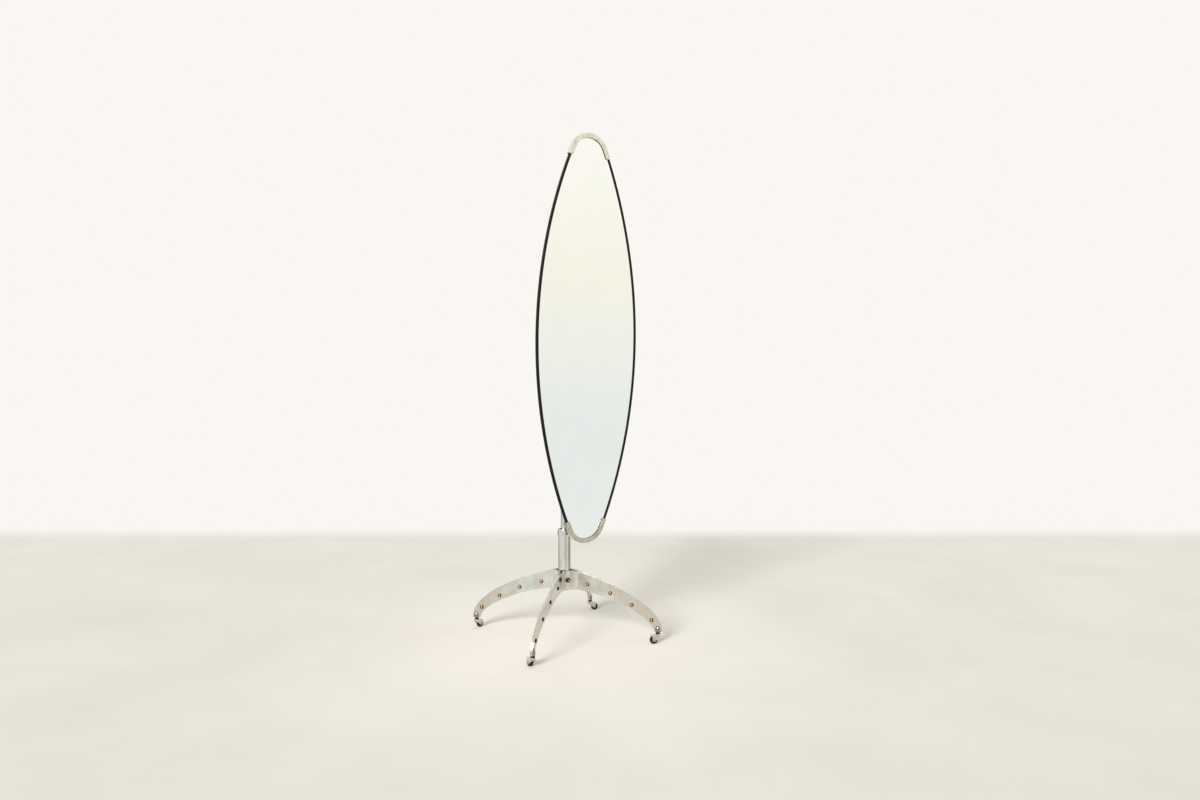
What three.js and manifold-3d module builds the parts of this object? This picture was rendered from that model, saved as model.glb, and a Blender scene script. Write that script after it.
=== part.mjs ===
// Rolling floor mirror: a tall lens-shaped mirror with rubber edging and two metal
// end caps, carried by a tilting bracket on a telescopic mast over a base of four
// bent plates on small swivel casters.
// Millimetres, +Z up. The origin is on the floor, on the mast's axis.
// The mirror faces -Y, between the two front legs.

import * as THREE from 'three';
import { mergeVertices } from 'three/addons/utils/BufferGeometryUtils.js';
import Module from 'manifold-3d';

const wasm = await Module();
wasm.setup();

// ---------------------------------------------------------------- driving sizes

const GAP = 0.3;                     // air between two pieces that touch
const RUNNING = 0.4;                 // radial play of what slides or turns

// base: four plates, each bent round one quarter in a smooth curve that touches the
// column, back to back along the legs
const PLATE = 4;                     // sheet thickness
const PLATE_PAIR_GAP = 0.4;          // between the two sheets of one leg
const TUBE_RADIUS = 25;
const HUB_TOP = 265;
const HUB_BOTTOM = 188;
const ARCH_START = 40;               // radius where the edges of a leg begin to fall
const UPPER_EDGE = { run: 120, rise: -26, foot: 110 };  // handles of the edge curves
const LOWER_EDGE = { run: 118, rise: 0, foot: 54 };
const FOOT_OUTER = 397;
const FOOT_INNER = 366;
const FOOT_BOTTOM = 45;
const RIVETS = [[97, 212], [190, 183], [278, 143], [357, 89]];  // radius, height
const RIVET_HEAD = 7.8;
const RIVET_RISE = 4;
const RIVET_SHANK = 3;
const HUB_BOLT = 4;                  // shank radius
const HUB_BOLT_HEIGHT = 228;
const HUB_BOLT_END = 14;             // tip's distance from the axis
const HUB_BOLT_HEAD = 7.5;
const HUB_BOLT_RISE = 5;
const HUB_WASHER = { radius: 9.5, thickness: 1.4 };

// column and mast
const COLUMN_SIDES = 28;
const TUBE_WALL = 3;
const TUBE_BOTTOM = 190;
const TUBE_TOP = 425;
const PLUG_BOTTOM = 186;
const PLUG_TOP = 244;
const COLLAR_RADIUS = 28;
const COLLAR_BOTTOM = 403;
const COLLAR_TOP = 430;
const BUSH_BOTTOM = 388;
const LOCK_SCREW = { angle: -96, height: 414, shank: 2.5, head: 4.5, rise: 2.5 };
const MAST_RADIUS = 15;
const MAST_WALL = 2;
const MAST_BOTTOM = 330;
const MAST_TOP = 1214;

// head and tilt hinge
const PIVOT_Y = -140;
const PIVOT_Z = 1178;
const CLAMP_RADIUS = 24;
const CLAMP_HALF = 28;               // half height
const ARM_HALF = 9;                  // half width
const ARM_RISE = 18;                 // half height
const ARM_TAPER = 24;                // from the pin back to the arm's full height
const FORK_BACK = 10;                // from the knuckle to the fork's shoulder
const LUG = { halfWidth: 11, reach: 42, slit: 1.5, bolt: 3, boltY: 33, head: 5.5, nut: 5 };
const HINGE_BOLT = 4;
const HINGE_HEAD = { radius: 7.5, height: 5.5 };
const KNOB = {
  radius: 16, wave: 2.2, lobes: 5, sides: 40, neck: 3, neckRadius: 8, grip: 13, boltEnd: 28,
};
const KNUCKLE_RADIUS = 15;
const TONGUE_HALF = 6;
const EAR = 8;

// mirror: two large side arcs joined by two small end arcs
const MIRROR_HALF_WIDTH = 216;
const MIRROR_HALF_HEIGHT = 772;
const SIDE_RADIUS = 1897;
const GLASS = 5;
const RUBBER_FACE = { front: 10, back: 7 };   // how far its lips cover the glass
const RUBBER_LIP = 2;
const PANEL = 9;
const PANEL_INSET = 8;
const CAP_WALL = 2.2;
const CAP_LIP = 18;
const CAP_END_HEIGHT = 689;          // above and below the mirror's middle
const CAP_CORNER = 8;
const CAP_SCREW = 1.5;
const CAP_SCREW_ANGLES = [48, 132];  // on the end arc
const SCREW_DEPTH = 7;
const GLASS_FRONT = -50;             // from the hinge pin, forward
const MIRROR_LEAN = 1.3;             // degrees, top forward, as it stands
const BRACKET = { halfWidth: 55, halfHeight: 100, corner: 12, thickness: 5 };
const BRACKET_SCREW = 2;
const BRACKET_SCREWS = [[-42, -86], [42, -86], [42, 86], [-42, 86]];

// casters
const CASTER_RADIUS = 381;           // of the circle of the four stems
const WHEEL_RADIUS = 15;
const WHEEL_SIDES = 24;
const TREAD_HALF = 6.5;
const TRAIL = 19;
const FORK_HALF = 9.5;
const FORK_WALL = 2;
const FORK_TOP = 37;
const FORK_NOSE = { radius: 12, height: 9 };         // round the stem, in front
const FORK_HOOD = { start: 8, end: 27, drop: 5.5, height: 5 };  // over the wheel
const FORK_BOSS = 5.5;
const AXLE = 2.2;
const WHEEL_HUB = 8.4;
const RACE_RADIUS = 8.3;
const SOCKET_RADIUS = 9.8;
const SOCKET_BOTTOM = 44;
const SOCKET_TOP = 69;
const SOCKET_NOSE = 15;              // height of its pointed end
const STEM_RADIUS = 4;
const STEM_TOP = 60;

const LEGS = [                       // direction of each leg and of its wheel's trail
  { name: 'front_left', angle: -135, trail: 95 },
  { name: 'front_right', angle: -45, trail: 172 },
  { name: 'back_right', angle: 45, trail: -30 },
  { name: 'back_left', angle: 135, trail: 28 },
];
const PLATES = { front: -135, right: -45, back: 45, left: 135 };

// ---------------------------------------------------------------- materials

function finish(color, roughness, metalness) {
  return new THREE.MeshStandardMaterial({ color, roughness, metalness });
}

const finishes = {
  plate: finish(0xd3d4d0, 0.32, 0.9),
  copper: finish(0xa8683c, 0.35, 0.9),
  tube: finish(0xc9c9c5, 0.25, 0.95),
  chrome: finish(0xdfe1e3, 0.08, 1),
  plastic: finish(0x1d1d1e, 0.6, 0),
  cast: finish(0xb9bab8, 0.45, 0.8),
  steel: finish(0x8e8f90, 0.35, 0.9),
  rubber: finish(0x0c0c0d, 0.35, 0),
  glass: finish(0xe6ebe8, 0.02, 1),
  board: finish(0x2a2826, 0.7, 0),
  cap: finish(0xdcdcd6, 0.18, 0.95),
  tread: finish(0x241d1a, 0.55, 0),
  hub: finish(0x9a8a7c, 0.5, 0.2),
};

// ---------------------------------------------------------------- tools

function toSolid(geometry) {
  const bare = geometry.clone();
  bare.deleteAttribute('normal');
  bare.deleteAttribute('uv');
  const merged = mergeVertices(bare, 1e-4);
  return new wasm.Manifold(new wasm.Mesh({
    numProp: 3,
    vertProperties: new Float32Array(merged.attributes.position.array),
    triVerts: new Uint32Array(merged.index.array),
  }));
}

function toGeometry(solid) {
  const mesh = solid.getMesh();
  const geometry = new THREE.BufferGeometry();
  geometry.setAttribute('position', new THREE.BufferAttribute(mesh.vertProperties, 3));
  geometry.setIndex(new THREE.BufferAttribute(mesh.triVerts, 1));
  return geometry;
}

function join(first, ...others) {
  const start = toSolid(first);
  return toGeometry(others.reduce((sum, other) => sum.add(toSolid(other)), start));
}

function cut(first, ...others) {
  const start = toSolid(first);
  return toGeometry(others.reduce((rest, other) => rest.subtract(toSolid(other)), start));
}

function common(first, second) {
  return toGeometry(toSolid(first).intersect(toSolid(second)));
}

function degrees(angle) {
  return THREE.MathUtils.degToRad(angle);
}

function piece(parent, name, geometry, material) {
  const mesh = new THREE.Mesh(geometry, material);
  mesh.name = name;
  parent.add(mesh);
}

function place(parent, x, y, z, turn = 0) {
  const frame = new THREE.Group();
  frame.position.set(x, y, z);
  frame.rotation.z = turn;
  parent.add(frame);
  return frame;
}

function extrude(shape, depth, curveSegments) {
  return new THREE.ExtrudeGeometry(shape, { depth, bevelEnabled: false, curveSegments });
}

// a shape drawn in (x, y), extruded upwards between two heights
function alongZ(shape, from, to, curveSegments = 8) {
  return extrude(shape, to - from, curveSegments).translate(0, 0, from);
}

// a shape drawn in (x, z), extruded along Y
function alongY(shape, from, to, curveSegments = 8) {
  return extrude(shape, to - from, curveSegments).rotateX(Math.PI / 2).translate(0, to, 0);
}

// a shape drawn in (y, z), extruded along X
function alongX(shape, from, to, curveSegments = 8) {
  const upright = extrude(shape, to - from, curveSegments).rotateX(Math.PI / 2);
  return upright.rotateZ(Math.PI / 2).translate(from, 0, 0);
}

// a profile of (radius, height) pairs turned round Z, round X or round Y
function turned(profile, segments, start = 0) {
  const points = profile.map(([radius, height]) => new THREE.Vector2(radius, height));
  return new THREE.LatheGeometry(points, segments, start).rotateX(Math.PI / 2);
}

function turnedX(profile, segments) {
  return turned(profile, segments).rotateY(Math.PI / 2);
}

function turnedY(profile, segments, start = 0) {
  return turned(profile, segments, start).rotateX(-Math.PI / 2);
}

function ring(inner, outer, from, to) {
  return [[inner, from], [outer, from], [outer, to], [inner, to], [inner, from]];
}

function rod(radius, from, to) {
  return [[0, from], [radius, from], [radius, to], [0, to]];
}

// a domed head standing on a seat at the given height, from rim to crown
function dome(radius, rise, seat) {
  return [[radius, seat], [radius * 0.68, seat + rise * 0.74], [0, seat + rise]];
}

// a screw along Z whose shank ends below and whose dome stands on the seat
function domedScrew(shank, end, seat, radius, rise) {
  return [[0, end], [shank, end], [shank, seat], ...dome(radius, rise, seat)];
}

function box(xFrom, xTo, yFrom, yTo, zFrom, zTo) {
  const geometry = new THREE.BoxGeometry(xTo - xFrom, yTo - yFrom, zTo - zFrom);
  return geometry.translate((xFrom + xTo) / 2, (yFrom + yTo) / 2, (zFrom + zTo) / 2);
}

// ---------------------------------------------------------------- base plates

const sheetMiddle = (PLATE_PAIR_GAP + PLATE) / 2;
const legHalf = PLATE_PAIR_GAP / 2 + PLATE;
const panelInner = TUBE_RADIUS + GAP;
const panelOuter = panelInner + PLATE;
const bendRadius = (panelInner + PLATE / 2 - Math.SQRT2 * sheetMiddle) / (Math.SQRT2 - 1);
const bendInside = bendRadius - PLATE / 2;

// side view of a leg, radius to the right: an arch that narrows down to its foot
function legProfile() {
  const shape = new THREE.Shape();
  shape.moveTo(0, HUB_BOTTOM);
  shape.lineTo(ARCH_START, HUB_BOTTOM);
  shape.bezierCurveTo(
    ARCH_START + LOWER_EDGE.run, HUB_BOTTOM + LOWER_EDGE.rise,
    FOOT_INNER, FOOT_BOTTOM + LOWER_EDGE.foot, FOOT_INNER, FOOT_BOTTOM,
  );
  shape.lineTo(FOOT_OUTER, FOOT_BOTTOM);
  shape.bezierCurveTo(
    FOOT_OUTER, FOOT_BOTTOM + UPPER_EDGE.foot,
    ARCH_START + UPPER_EDGE.run, HUB_TOP + UPPER_EDGE.rise, ARCH_START, HUB_TOP,
  );
  shape.lineTo(0, HUB_TOP);
  return shape;
}

// top view of one bent plate in the quarter between +X and +Y: in along one leg, round
// a quarter circle that comes nearest to the column at its middle, and out again
function bentStrip() {
  const centre = sheetMiddle + bendRadius;
  const [front, back] = [sheetMiddle + PLATE / 2, sheetMiddle - PLATE / 2];
  const shape = new THREE.Shape();
  shape.moveTo(FOOT_OUTER + 1, front);
  shape.absarc(centre, centre, bendInside, degrees(-90), degrees(-180), true);
  shape.lineTo(front, FOOT_OUTER + 1);
  shape.lineTo(back, FOOT_OUTER + 1);
  shape.absarc(centre, centre, bendInside + PLATE, degrees(-180), degrees(-90), false);
  shape.lineTo(FOOT_OUTER + 1, back);
  return shape;
}

// the caster socket's outside, a bullet, grown to cut its seat
function bullet(grow) {
  const radius = SOCKET_RADIUS + grow;
  const bottom = SOCKET_BOTTOM - grow;
  const top = SOCKET_TOP + grow;
  return [
    [0, bottom], [radius, bottom], [radius, top - SOCKET_NOSE],
    [radius * 0.9, top - SOCKET_NOSE * 0.62], [radius * 0.62, top - SOCKET_NOSE * 0.26],
    [0, top],
  ];
}

function rivetHoles() {
  const hole = turnedY(rod(RIVET_SHANK + GAP, -legHalf - 1, legHalf + 1), 8);
  return RIVETS.map(([radius, height]) => hole.clone().translate(radius, 0, height));
}

function legPlate() {
  const arms = join(
    alongY(legProfile(), -1, panelOuter),
    alongY(legProfile(), -panelOuter, 1).rotateZ(Math.PI / 2),
  );
  const sheet = common(alongZ(bentStrip(), 0, HUB_TOP + 1, 4), arms);
  const seat = turned(bullet(GAP), 12).translate(CASTER_RADIUS, 0, 0);
  const onFirstLeg = [...rivetHoles(), seat];
  const onSecondLeg = onFirstLeg.map((hole) => hole.clone().rotateZ(Math.PI / 2));
  const boltHole = turnedX(rod(HUB_BOLT + GAP, TUBE_RADIUS, panelOuter + 1), 8);
  boltHole.rotateZ(Math.PI / 4).translate(0, 0, HUB_BOLT_HEIGHT);
  return cut(sheet, ...onFirstLeg, ...onSecondLeg, boltHole);
}

// a domed head on each outer face of the two plates, and a shank through both
function legRivet() {
  const seat = legHalf + GAP;
  const head = dome(RIVET_HEAD, RIVET_RISE, seat);
  const foot = head.map(([radius, height]) => [radius, -height]).reverse();
  const profile = [...foot, [RIVET_SHANK, -seat], [RIVET_SHANK, seat], ...head];
  return turnedY(profile, 8);
}

// a radial bolt through the middle of a bend; its washer bears on both sides of it
function hubBolt() {
  const { radius, thickness } = HUB_WASHER;
  const hollow = bendInside - Math.sqrt(bendInside ** 2 - radius ** 2);
  const seat = panelOuter + hollow + GAP;
  const head = dome(HUB_BOLT_HEAD, HUB_BOLT_RISE, seat + thickness);
  const profile = [
    [0, HUB_BOLT_END], [HUB_BOLT, HUB_BOLT_END], [HUB_BOLT, seat],
    [radius, seat], [radius, seat + thickness], ...head,
  ];
  return turnedX(profile, 12).translate(0, 0, HUB_BOLT_HEIGHT);
}

function buildBase(parent) {
  for (const [name, angle] of Object.entries(PLATES)) {
    const frame = place(parent, 0, 0, 0, degrees(angle));
    piece(frame, `leg_plate_${name}`, legPlate(), finishes.plate);
    const panel = place(frame, 0, 0, 0, degrees(45));
    piece(panel, `hub_bolt_${name}`, hubBolt(), finishes.copper);
  }
  for (const leg of LEGS) {
    const frame = place(parent, 0, 0, 0, degrees(leg.angle));
    RIVETS.forEach(([radius, height], index) => {
      const seat = place(frame, radius, 0, height);
      piece(seat, `leg_rivet_${leg.name}_${index + 1}`, legRivet(), finishes.copper);
    });
  }
}

// the holes of the four hub bolts, between two distances from the axis
function hubBoltHoles(from, to) {
  const hole = turnedX(rod(HUB_BOLT + GAP, from, to), 8).translate(0, 0, HUB_BOLT_HEIGHT);
  return [0, 90, 180, 270].map((angle) => hole.clone().rotateZ(degrees(angle)));
}

// ---------------------------------------------------------------- column and mast

const tubeInner = TUBE_RADIUS - TUBE_WALL;

function atLockScrew(geometry) {
  return geometry.rotateZ(degrees(LOCK_SCREW.angle)).translate(0, 0, LOCK_SCREW.height);
}

function lockScrewHole(from, to) {
  return atLockScrew(turnedX(rod(LOCK_SCREW.shank + GAP, from, to), 8));
}

// closes the tube's foot and takes the four hub bolts
function columnPlug() {
  const flange = TUBE_RADIUS - 0.5;
  const profile = [
    [0, PLUG_BOTTOM], [flange, PLUG_BOTTOM], [flange, TUBE_BOTTOM - GAP],
    [tubeInner - GAP, TUBE_BOTTOM - GAP], [tubeInner - GAP, PLUG_TOP], [0, PLUG_TOP],
  ];
  return cut(turned(profile, COLUMN_SIDES), ...hubBoltHoles(HUB_BOLT_END - 1, TUBE_RADIUS));
}

function columnTube() {
  const tube = turned(ring(tubeInner, TUBE_RADIUS, TUBE_BOTTOM, TUBE_TOP), COLUMN_SIDES);
  const [from, to] = [tubeInner - 2, TUBE_RADIUS + 1];
  return cut(tube, ...hubBoltHoles(from, to), lockScrewHole(from, to));
}

// a sleeve over the tube's end, with a lip that covers the tube's wall
function collar() {
  const bore = TUBE_RADIUS + GAP;
  const profile = [
    [bore, COLLAR_BOTTOM], [COLLAR_RADIUS - 1, COLLAR_BOTTOM], [COLLAR_RADIUS, COLLAR_BOTTOM + 1],
    [COLLAR_RADIUS, COLLAR_TOP - 1.5], [COLLAR_RADIUS - 1.5, COLLAR_TOP],
    [tubeInner, COLLAR_TOP], [tubeInner, TUBE_TOP + GAP], [bore, TUBE_TOP + GAP],
    [bore, COLLAR_BOTTOM],
  ];
  return cut(turned(profile, COLUMN_SIDES), lockScrewHole(TUBE_RADIUS, COLLAR_RADIUS + 1));
}

// guides the mast in the tube
function bush() {
  const inner = MAST_RADIUS + RUNNING;
  const sleeve = turned(ring(inner, tubeInner - GAP, BUSH_BOTTOM, TUBE_TOP), COLUMN_SIDES);
  return cut(sleeve, lockScrewHole(inner - 2, tubeInner + 1));
}

// holds the mast at its height
function lockScrew() {
  const { shank, head, rise } = LOCK_SCREW;
  const profile = domedScrew(shank, MAST_RADIUS + RUNNING, COLLAR_RADIUS + GAP, head, rise);
  return atLockScrew(turnedX(profile, 10));
}

function buildColumn(parent) {
  piece(parent, 'column_plug', columnPlug(), finishes.plastic);
  piece(parent, 'column_tube', columnTube(), finishes.tube);
  piece(parent, 'column_collar', collar(), finishes.chrome);
  piece(parent, 'column_bush', bush(), finishes.plastic);
  piece(parent, 'lock_screw', lockScrew(), finishes.copper);
}

// a tube closed at its top end
function mast() {
  const inner = MAST_RADIUS - MAST_WALL;
  const profile = [
    [0, MAST_TOP - MAST_WALL], [inner, MAST_TOP - MAST_WALL], [inner, MAST_BOTTOM],
    [MAST_RADIUS, MAST_BOTTOM], [MAST_RADIUS, MAST_TOP - 2], [MAST_RADIUS - 2, MAST_TOP],
    [0, MAST_TOP],
  ];
  return turned(profile, 24);
}

// ---------------------------------------------------------------- head

// drawn about the mast's axis, at the height of the hinge pin

const earInner = TONGUE_HALF + 2 * GAP;
const earOuter = earInner + EAR;

// a split ring round the mast with two lugs behind it for the clamp bolt
function clampRing() {
  const barrel = turned(rod(CLAMP_RADIUS, -CLAMP_HALF, CLAMP_HALF), 24);
  const lugs = box(-LUG.halfWidth, LUG.halfWidth, 0, LUG.reach, -CLAMP_HALF, CLAMP_HALF);
  return join(barrel, lugs);
}

// an arm that reaches forward and ends in a fork with rounded ears
function arm() {
  const side = new THREE.Shape();
  side.moveTo(0, -ARM_RISE);
  side.lineTo(0, ARM_RISE);
  side.lineTo(PIVOT_Y + ARM_TAPER, ARM_RISE);
  side.absarc(PIVOT_Y, 0, KNUCKLE_RADIUS, degrees(90), degrees(270), false);
  side.lineTo(PIVOT_Y + ARM_TAPER, -ARM_RISE);
  const top = new THREE.Shape();
  const shoulder = PIVOT_Y + KNUCKLE_RADIUS + FORK_BACK;
  top.moveTo(ARM_HALF, 0);
  top.lineTo(-ARM_HALF, 0);
  top.lineTo(-ARM_HALF, shoulder + ARM_TAPER / 2);
  top.lineTo(-earOuter, shoulder);
  top.lineTo(-earOuter, PIVOT_Y - KNUCKLE_RADIUS);
  top.lineTo(earOuter, PIVOT_Y - KNUCKLE_RADIUS);
  top.lineTo(earOuter, shoulder);
  top.lineTo(ARM_HALF, shoulder + ARM_TAPER / 2);
  return common(
    alongX(side, -earOuter, earOuter, 6),
    alongZ(top, -CLAMP_HALF, CLAMP_HALF),
  );
}

function headClamp() {
  const tall = CLAMP_HALF + 1;
  const bore = turned(rod(MAST_RADIUS + RUNNING, -tall, tall), 24);
  const slit = box(-LUG.slit, LUG.slit, 0, LUG.reach + 1, -tall, tall);
  const boltHole = turnedX(rod(LUG.bolt + GAP, -LUG.halfWidth - 1, LUG.halfWidth + 1), 10);
  const slotBack = PIVOT_Y + KNUCKLE_RADIUS + 3;
  const slot = box(-earInner, earInner, PIVOT_Y - 30, slotBack, -tall, tall);
  const pinHole = turnedX(rod(HINGE_BOLT + GAP, -earOuter - 1, earOuter + 1), 12);
  return cut(
    join(clampRing(), arm()), bore, slit, slot,
    boltHole.translate(0, LUG.boltY, 0), pinHole.translate(0, PIVOT_Y, 0),
  );
}

function clampBolt() {
  const seat = LUG.halfWidth + GAP;
  const end = seat + LUG.nut;
  const profile = [
    [0, -end], [LUG.head, -end], [LUG.head, -seat], [LUG.bolt, -seat],
    [LUG.bolt, seat], [LUG.head, seat], [LUG.head, end], [0, end],
  ];
  return turnedX(profile, 6).translate(0, LUG.boltY, 0);
}

function hingeBolt() {
  const seat = -earOuter - GAP;
  const shank = turnedX(rod(HINGE_BOLT, seat - 2, KNOB.boltEnd), 12);
  const head = turnedX(rod(HINGE_HEAD.radius, seat - HINGE_HEAD.height, seat), 6);
  return join(shank, head).translate(0, PIVOT_Y, 0);
}

// a hand knob with five lobes and a short neck, blind-bored for the bolt
function tiltKnob() {
  const start = earOuter + GAP;
  const star = new THREE.Shape();
  for (let i = 0; i < KNOB.sides; i += 1) {
    const angle = (i / KNOB.sides) * 2 * Math.PI;
    const radius = KNOB.radius + KNOB.wave * Math.cos(KNOB.lobes * angle);
    const point = [radius * Math.cos(angle), radius * Math.sin(angle)];
    if (i === 0) star.moveTo(...point);
    else star.lineTo(...point);
  }
  const grip = alongX(star, start + KNOB.neck, start + KNOB.neck + KNOB.grip);
  const neck = turnedX(rod(KNOB.neckRadius, start, start + KNOB.neck + 1), 16);
  const bore = turnedX(rod(HINGE_BOLT + RUNNING, start - 1, KNOB.boltEnd + GAP), 12);
  return cut(join(grip, neck), bore).translate(0, PIVOT_Y, 0);
}

function buildHead(parent) {
  const frame = place(parent, 0, 0, PIVOT_Z);
  piece(frame, 'head_clamp', headClamp(), finishes.cast);
  piece(frame, 'clamp_bolt', clampBolt(), finishes.steel);
  piece(frame, 'hinge_bolt', hingeBolt(), finishes.steel);
  piece(frame, 'tilt_knob', tiltKnob(), finishes.plastic);
}

// ---------------------------------------------------------------- mirror
// drawn about the hinge pin with the glass upright, then leaned as a whole

const sideCentre = SIDE_RADIUS - MIRROR_HALF_WIDTH;
const endRadius = (SIDE_RADIUS ** 2 - sideCentre ** 2 - MIRROR_HALF_HEIGHT ** 2)
  / (2 * (SIDE_RADIUS - MIRROR_HALF_HEIGHT));
const endCentre = MIRROR_HALF_HEIGHT - endRadius;
const tangent = Math.atan2(endCentre, sideCentre);

const glassBack = GLASS_FRONT + GLASS;
const rubberFront = GLASS_FRONT - GAP - RUBBER_LIP;
const rubberBack = glassBack + GAP + RUBBER_LIP;
const panelFront = glassBack + GAP;
const panelBack = panelFront + PANEL;
const capFront = rubberFront - GAP - CAP_WALL;
const capBack = panelBack + GAP + CAP_WALL;
const bracketFront = panelBack + GAP;

// the mirror's outline, set in by some distance from the rubber's outer edge
function lens(inset) {
  const side = SIDE_RADIUS - inset;
  const end = endRadius - inset;
  const shape = new THREE.Shape();
  shape.absarc(-sideCentre, 0, side, -tangent, tangent, false);
  shape.absarc(0, endCentre, end, tangent, Math.PI - tangent, false);
  shape.absarc(sideCentre, 0, side, Math.PI - tangent, Math.PI + tangent, false);
  shape.absarc(0, -endCentre, end, Math.PI + tangent, 2 * Math.PI - tangent, false);
  return shape;
}

function rubberEdge() {
  const whole = alongY(lens(0), rubberFront, rubberBack);
  const frontWindow = alongY(lens(RUBBER_FACE.front), rubberFront - 1, GLASS_FRONT);
  const backWindow = alongY(lens(RUBBER_FACE.back), glassBack, rubberBack + 1);
  const groove = alongY(lens(RUBBER_LIP), GLASS_FRONT - GAP, glassBack + GAP);
  return cut(whole, frontWindow, backWindow, groove);
}

// the rounded inner corner at one end of a cap's lips, cut away through both
function lipCorner() {
  const edge = SIDE_RADIUS + CAP_WALL + GAP - CAP_LIP + CAP_CORNER;
  const shape = new THREE.Shape();
  shape.moveTo(edge - 2 * CAP_CORNER, -1);
  shape.lineTo(edge, -1);
  shape.absarc(edge, CAP_CORNER, CAP_CORNER, degrees(270), degrees(180), true);
  shape.lineTo(edge - 2 * CAP_CORNER, CAP_CORNER);
  return alongY(shape, -200, 200, 6);
}

// the region that a cap keeps: above two lines square to the mirror's edge
function capReach(angle) {
  const far = 200;
  const height = (x) => (sideCentre + x) * Math.tan(angle);
  const shape = new THREE.Shape();
  shape.moveTo(0, height(0));
  shape.lineTo(far, height(far));
  shape.lineTo(far, 2 * MIRROR_HALF_HEIGHT);
  shape.lineTo(-far, 2 * MIRROR_HALF_HEIGHT);
  shape.lineTo(-far, height(far));
  return alongY(shape, capFront - 1, capBack + 1);
}

function capScrewPlaces() {
  const radius = endRadius - PANEL_INSET - 4;
  return CAP_SCREW_ANGLES.map((angle) => [
    radius * Math.cos(degrees(angle)), endCentre + radius * Math.sin(degrees(angle)),
  ]);
}

// a channel bent round the mirror's top end; the bottom one is the same, turned over
function endCap() {
  const angle = Math.asin(CAP_END_HEIGHT / SIDE_RADIUS);
  const outer = alongY(lens(-CAP_WALL - GAP), capFront, capBack);
  const hollow = alongY(lens(-GAP), capFront + CAP_WALL, capBack - CAP_WALL);
  const window = alongY(lens(CAP_LIP - CAP_WALL - GAP), capFront - 1, capBack + 1);
  const channel = common(cut(outer, hollow, window), capReach(angle));
  const right = lipCorner().rotateY(-angle).translate(-sideCentre, 0, 0);
  const left = right.clone().rotateZ(Math.PI);
  const holes = screwHoles(capScrewPlaces(), CAP_SCREW + GAP, capBack - CAP_WALL - 1, capBack + 1);
  return cut(channel, right, left, ...holes);
}

function screwHoles(places, radius, from, to) {
  return places.map(([x, z]) => turnedY(rod(radius, from, to), 8).translate(x, 0, z));
}

// the board behind the glass, with blind holes for the screws of caps and bracket
function backPanel() {
  const board = alongY(lens(PANEL_INSET), panelFront, panelBack);
  const [from, to] = [panelBack - SCREW_DEPTH, panelBack + 1];
  const capPlaces = capScrewPlaces();
  const turnedOver = capPlaces.map(([x, z]) => [-x, -z]);
  return cut(
    board,
    ...screwHoles([...capPlaces, ...turnedOver], CAP_SCREW, from, to),
    ...screwHoles(BRACKET_SCREWS, BRACKET_SCREW, from, to),
  );
}

// a plate screwed to the back with a tongue that reaches the hinge pin
function bracket() {
  const { halfWidth, halfHeight, corner, thickness } = BRACKET;
  const outline = new THREE.Shape();
  outline.absarc(halfWidth - corner, halfHeight - corner, corner, 0, degrees(90));
  outline.absarc(corner - halfWidth, halfHeight - corner, corner, degrees(90), degrees(180));
  outline.absarc(corner - halfWidth, corner - halfHeight, corner, degrees(180), degrees(270));
  outline.absarc(halfWidth - corner, corner - halfHeight, corner, degrees(270), degrees(360));
  const plate = alongY(outline, bracketFront, bracketFront + thickness, 4);
  const root = bracketFront + thickness - 1;
  const side = new THREE.Shape();
  side.moveTo(root, -2 * KNUCKLE_RADIUS);
  side.lineTo(root + 4, -2 * KNUCKLE_RADIUS);
  side.absarc(0, 0, KNUCKLE_RADIUS - 1, degrees(-100), degrees(100), false);
  side.lineTo(root + 4, 2 * KNUCKLE_RADIUS);
  side.lineTo(root, 2 * KNUCKLE_RADIUS);
  const tongue = alongX(side, -TONGUE_HALF, TONGUE_HALF, 6);
  const pinHole = turnedX(rod(HINGE_BOLT + RUNNING, -TONGUE_HALF - 1, TONGUE_HALF + 1), 12);
  const through = screwHoles(
    BRACKET_SCREWS, BRACKET_SCREW + GAP, bracketFront - 1, bracketFront + thickness + 1,
  );
  return cut(join(plate, tongue), pinHole, ...through);
}

function buildMirror(parent) {
  const frame = place(parent, 0, PIVOT_Y, PIVOT_Z);
  frame.rotation.x = degrees(MIRROR_LEAN);
  const glass = alongY(lens(RUBBER_LIP + GAP), GLASS_FRONT, glassBack);
  piece(frame, 'mirror_glass', glass, finishes.glass);
  piece(frame, 'rubber_edge', rubberEdge(), finishes.rubber);
  piece(frame, 'back_panel', backPanel(), finishes.board);
  piece(frame, 'top_cap', endCap(), finishes.cap);
  piece(frame, 'bottom_cap', endCap().rotateY(Math.PI), finishes.cap);
  piece(frame, 'mirror_bracket', bracket(), finishes.cast);
}

// ---------------------------------------------------------------- casters
// drawn with the stem on the axis and the wheel trailing towards +X

function socket() {
  const bore = turned(rod(STEM_RADIUS + RUNNING, SOCKET_BOTTOM - 1, STEM_TOP + 1), 12);
  return cut(turned(bullet(0), 12), bore);
}

// side view of the fork: a crown over the stem, a hood over the wheel, and cheeks that
// narrow down to the axle
function forkSide() {
  const { start, end, drop, height } = FORK_HOOD;
  const shape = new THREE.Shape();
  shape.moveTo(-FORK_NOSE.radius, FORK_TOP);
  shape.lineTo(-FORK_NOSE.radius, FORK_TOP - FORK_NOSE.height);
  shape.absarc(TRAIL, WHEEL_RADIUS, FORK_BOSS, degrees(225), degrees(375), false);
  shape.lineTo(end, FORK_TOP - drop - height);
  shape.lineTo(end, FORK_TOP - drop);
  shape.lineTo(start, FORK_TOP);
  return shape;
}

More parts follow.
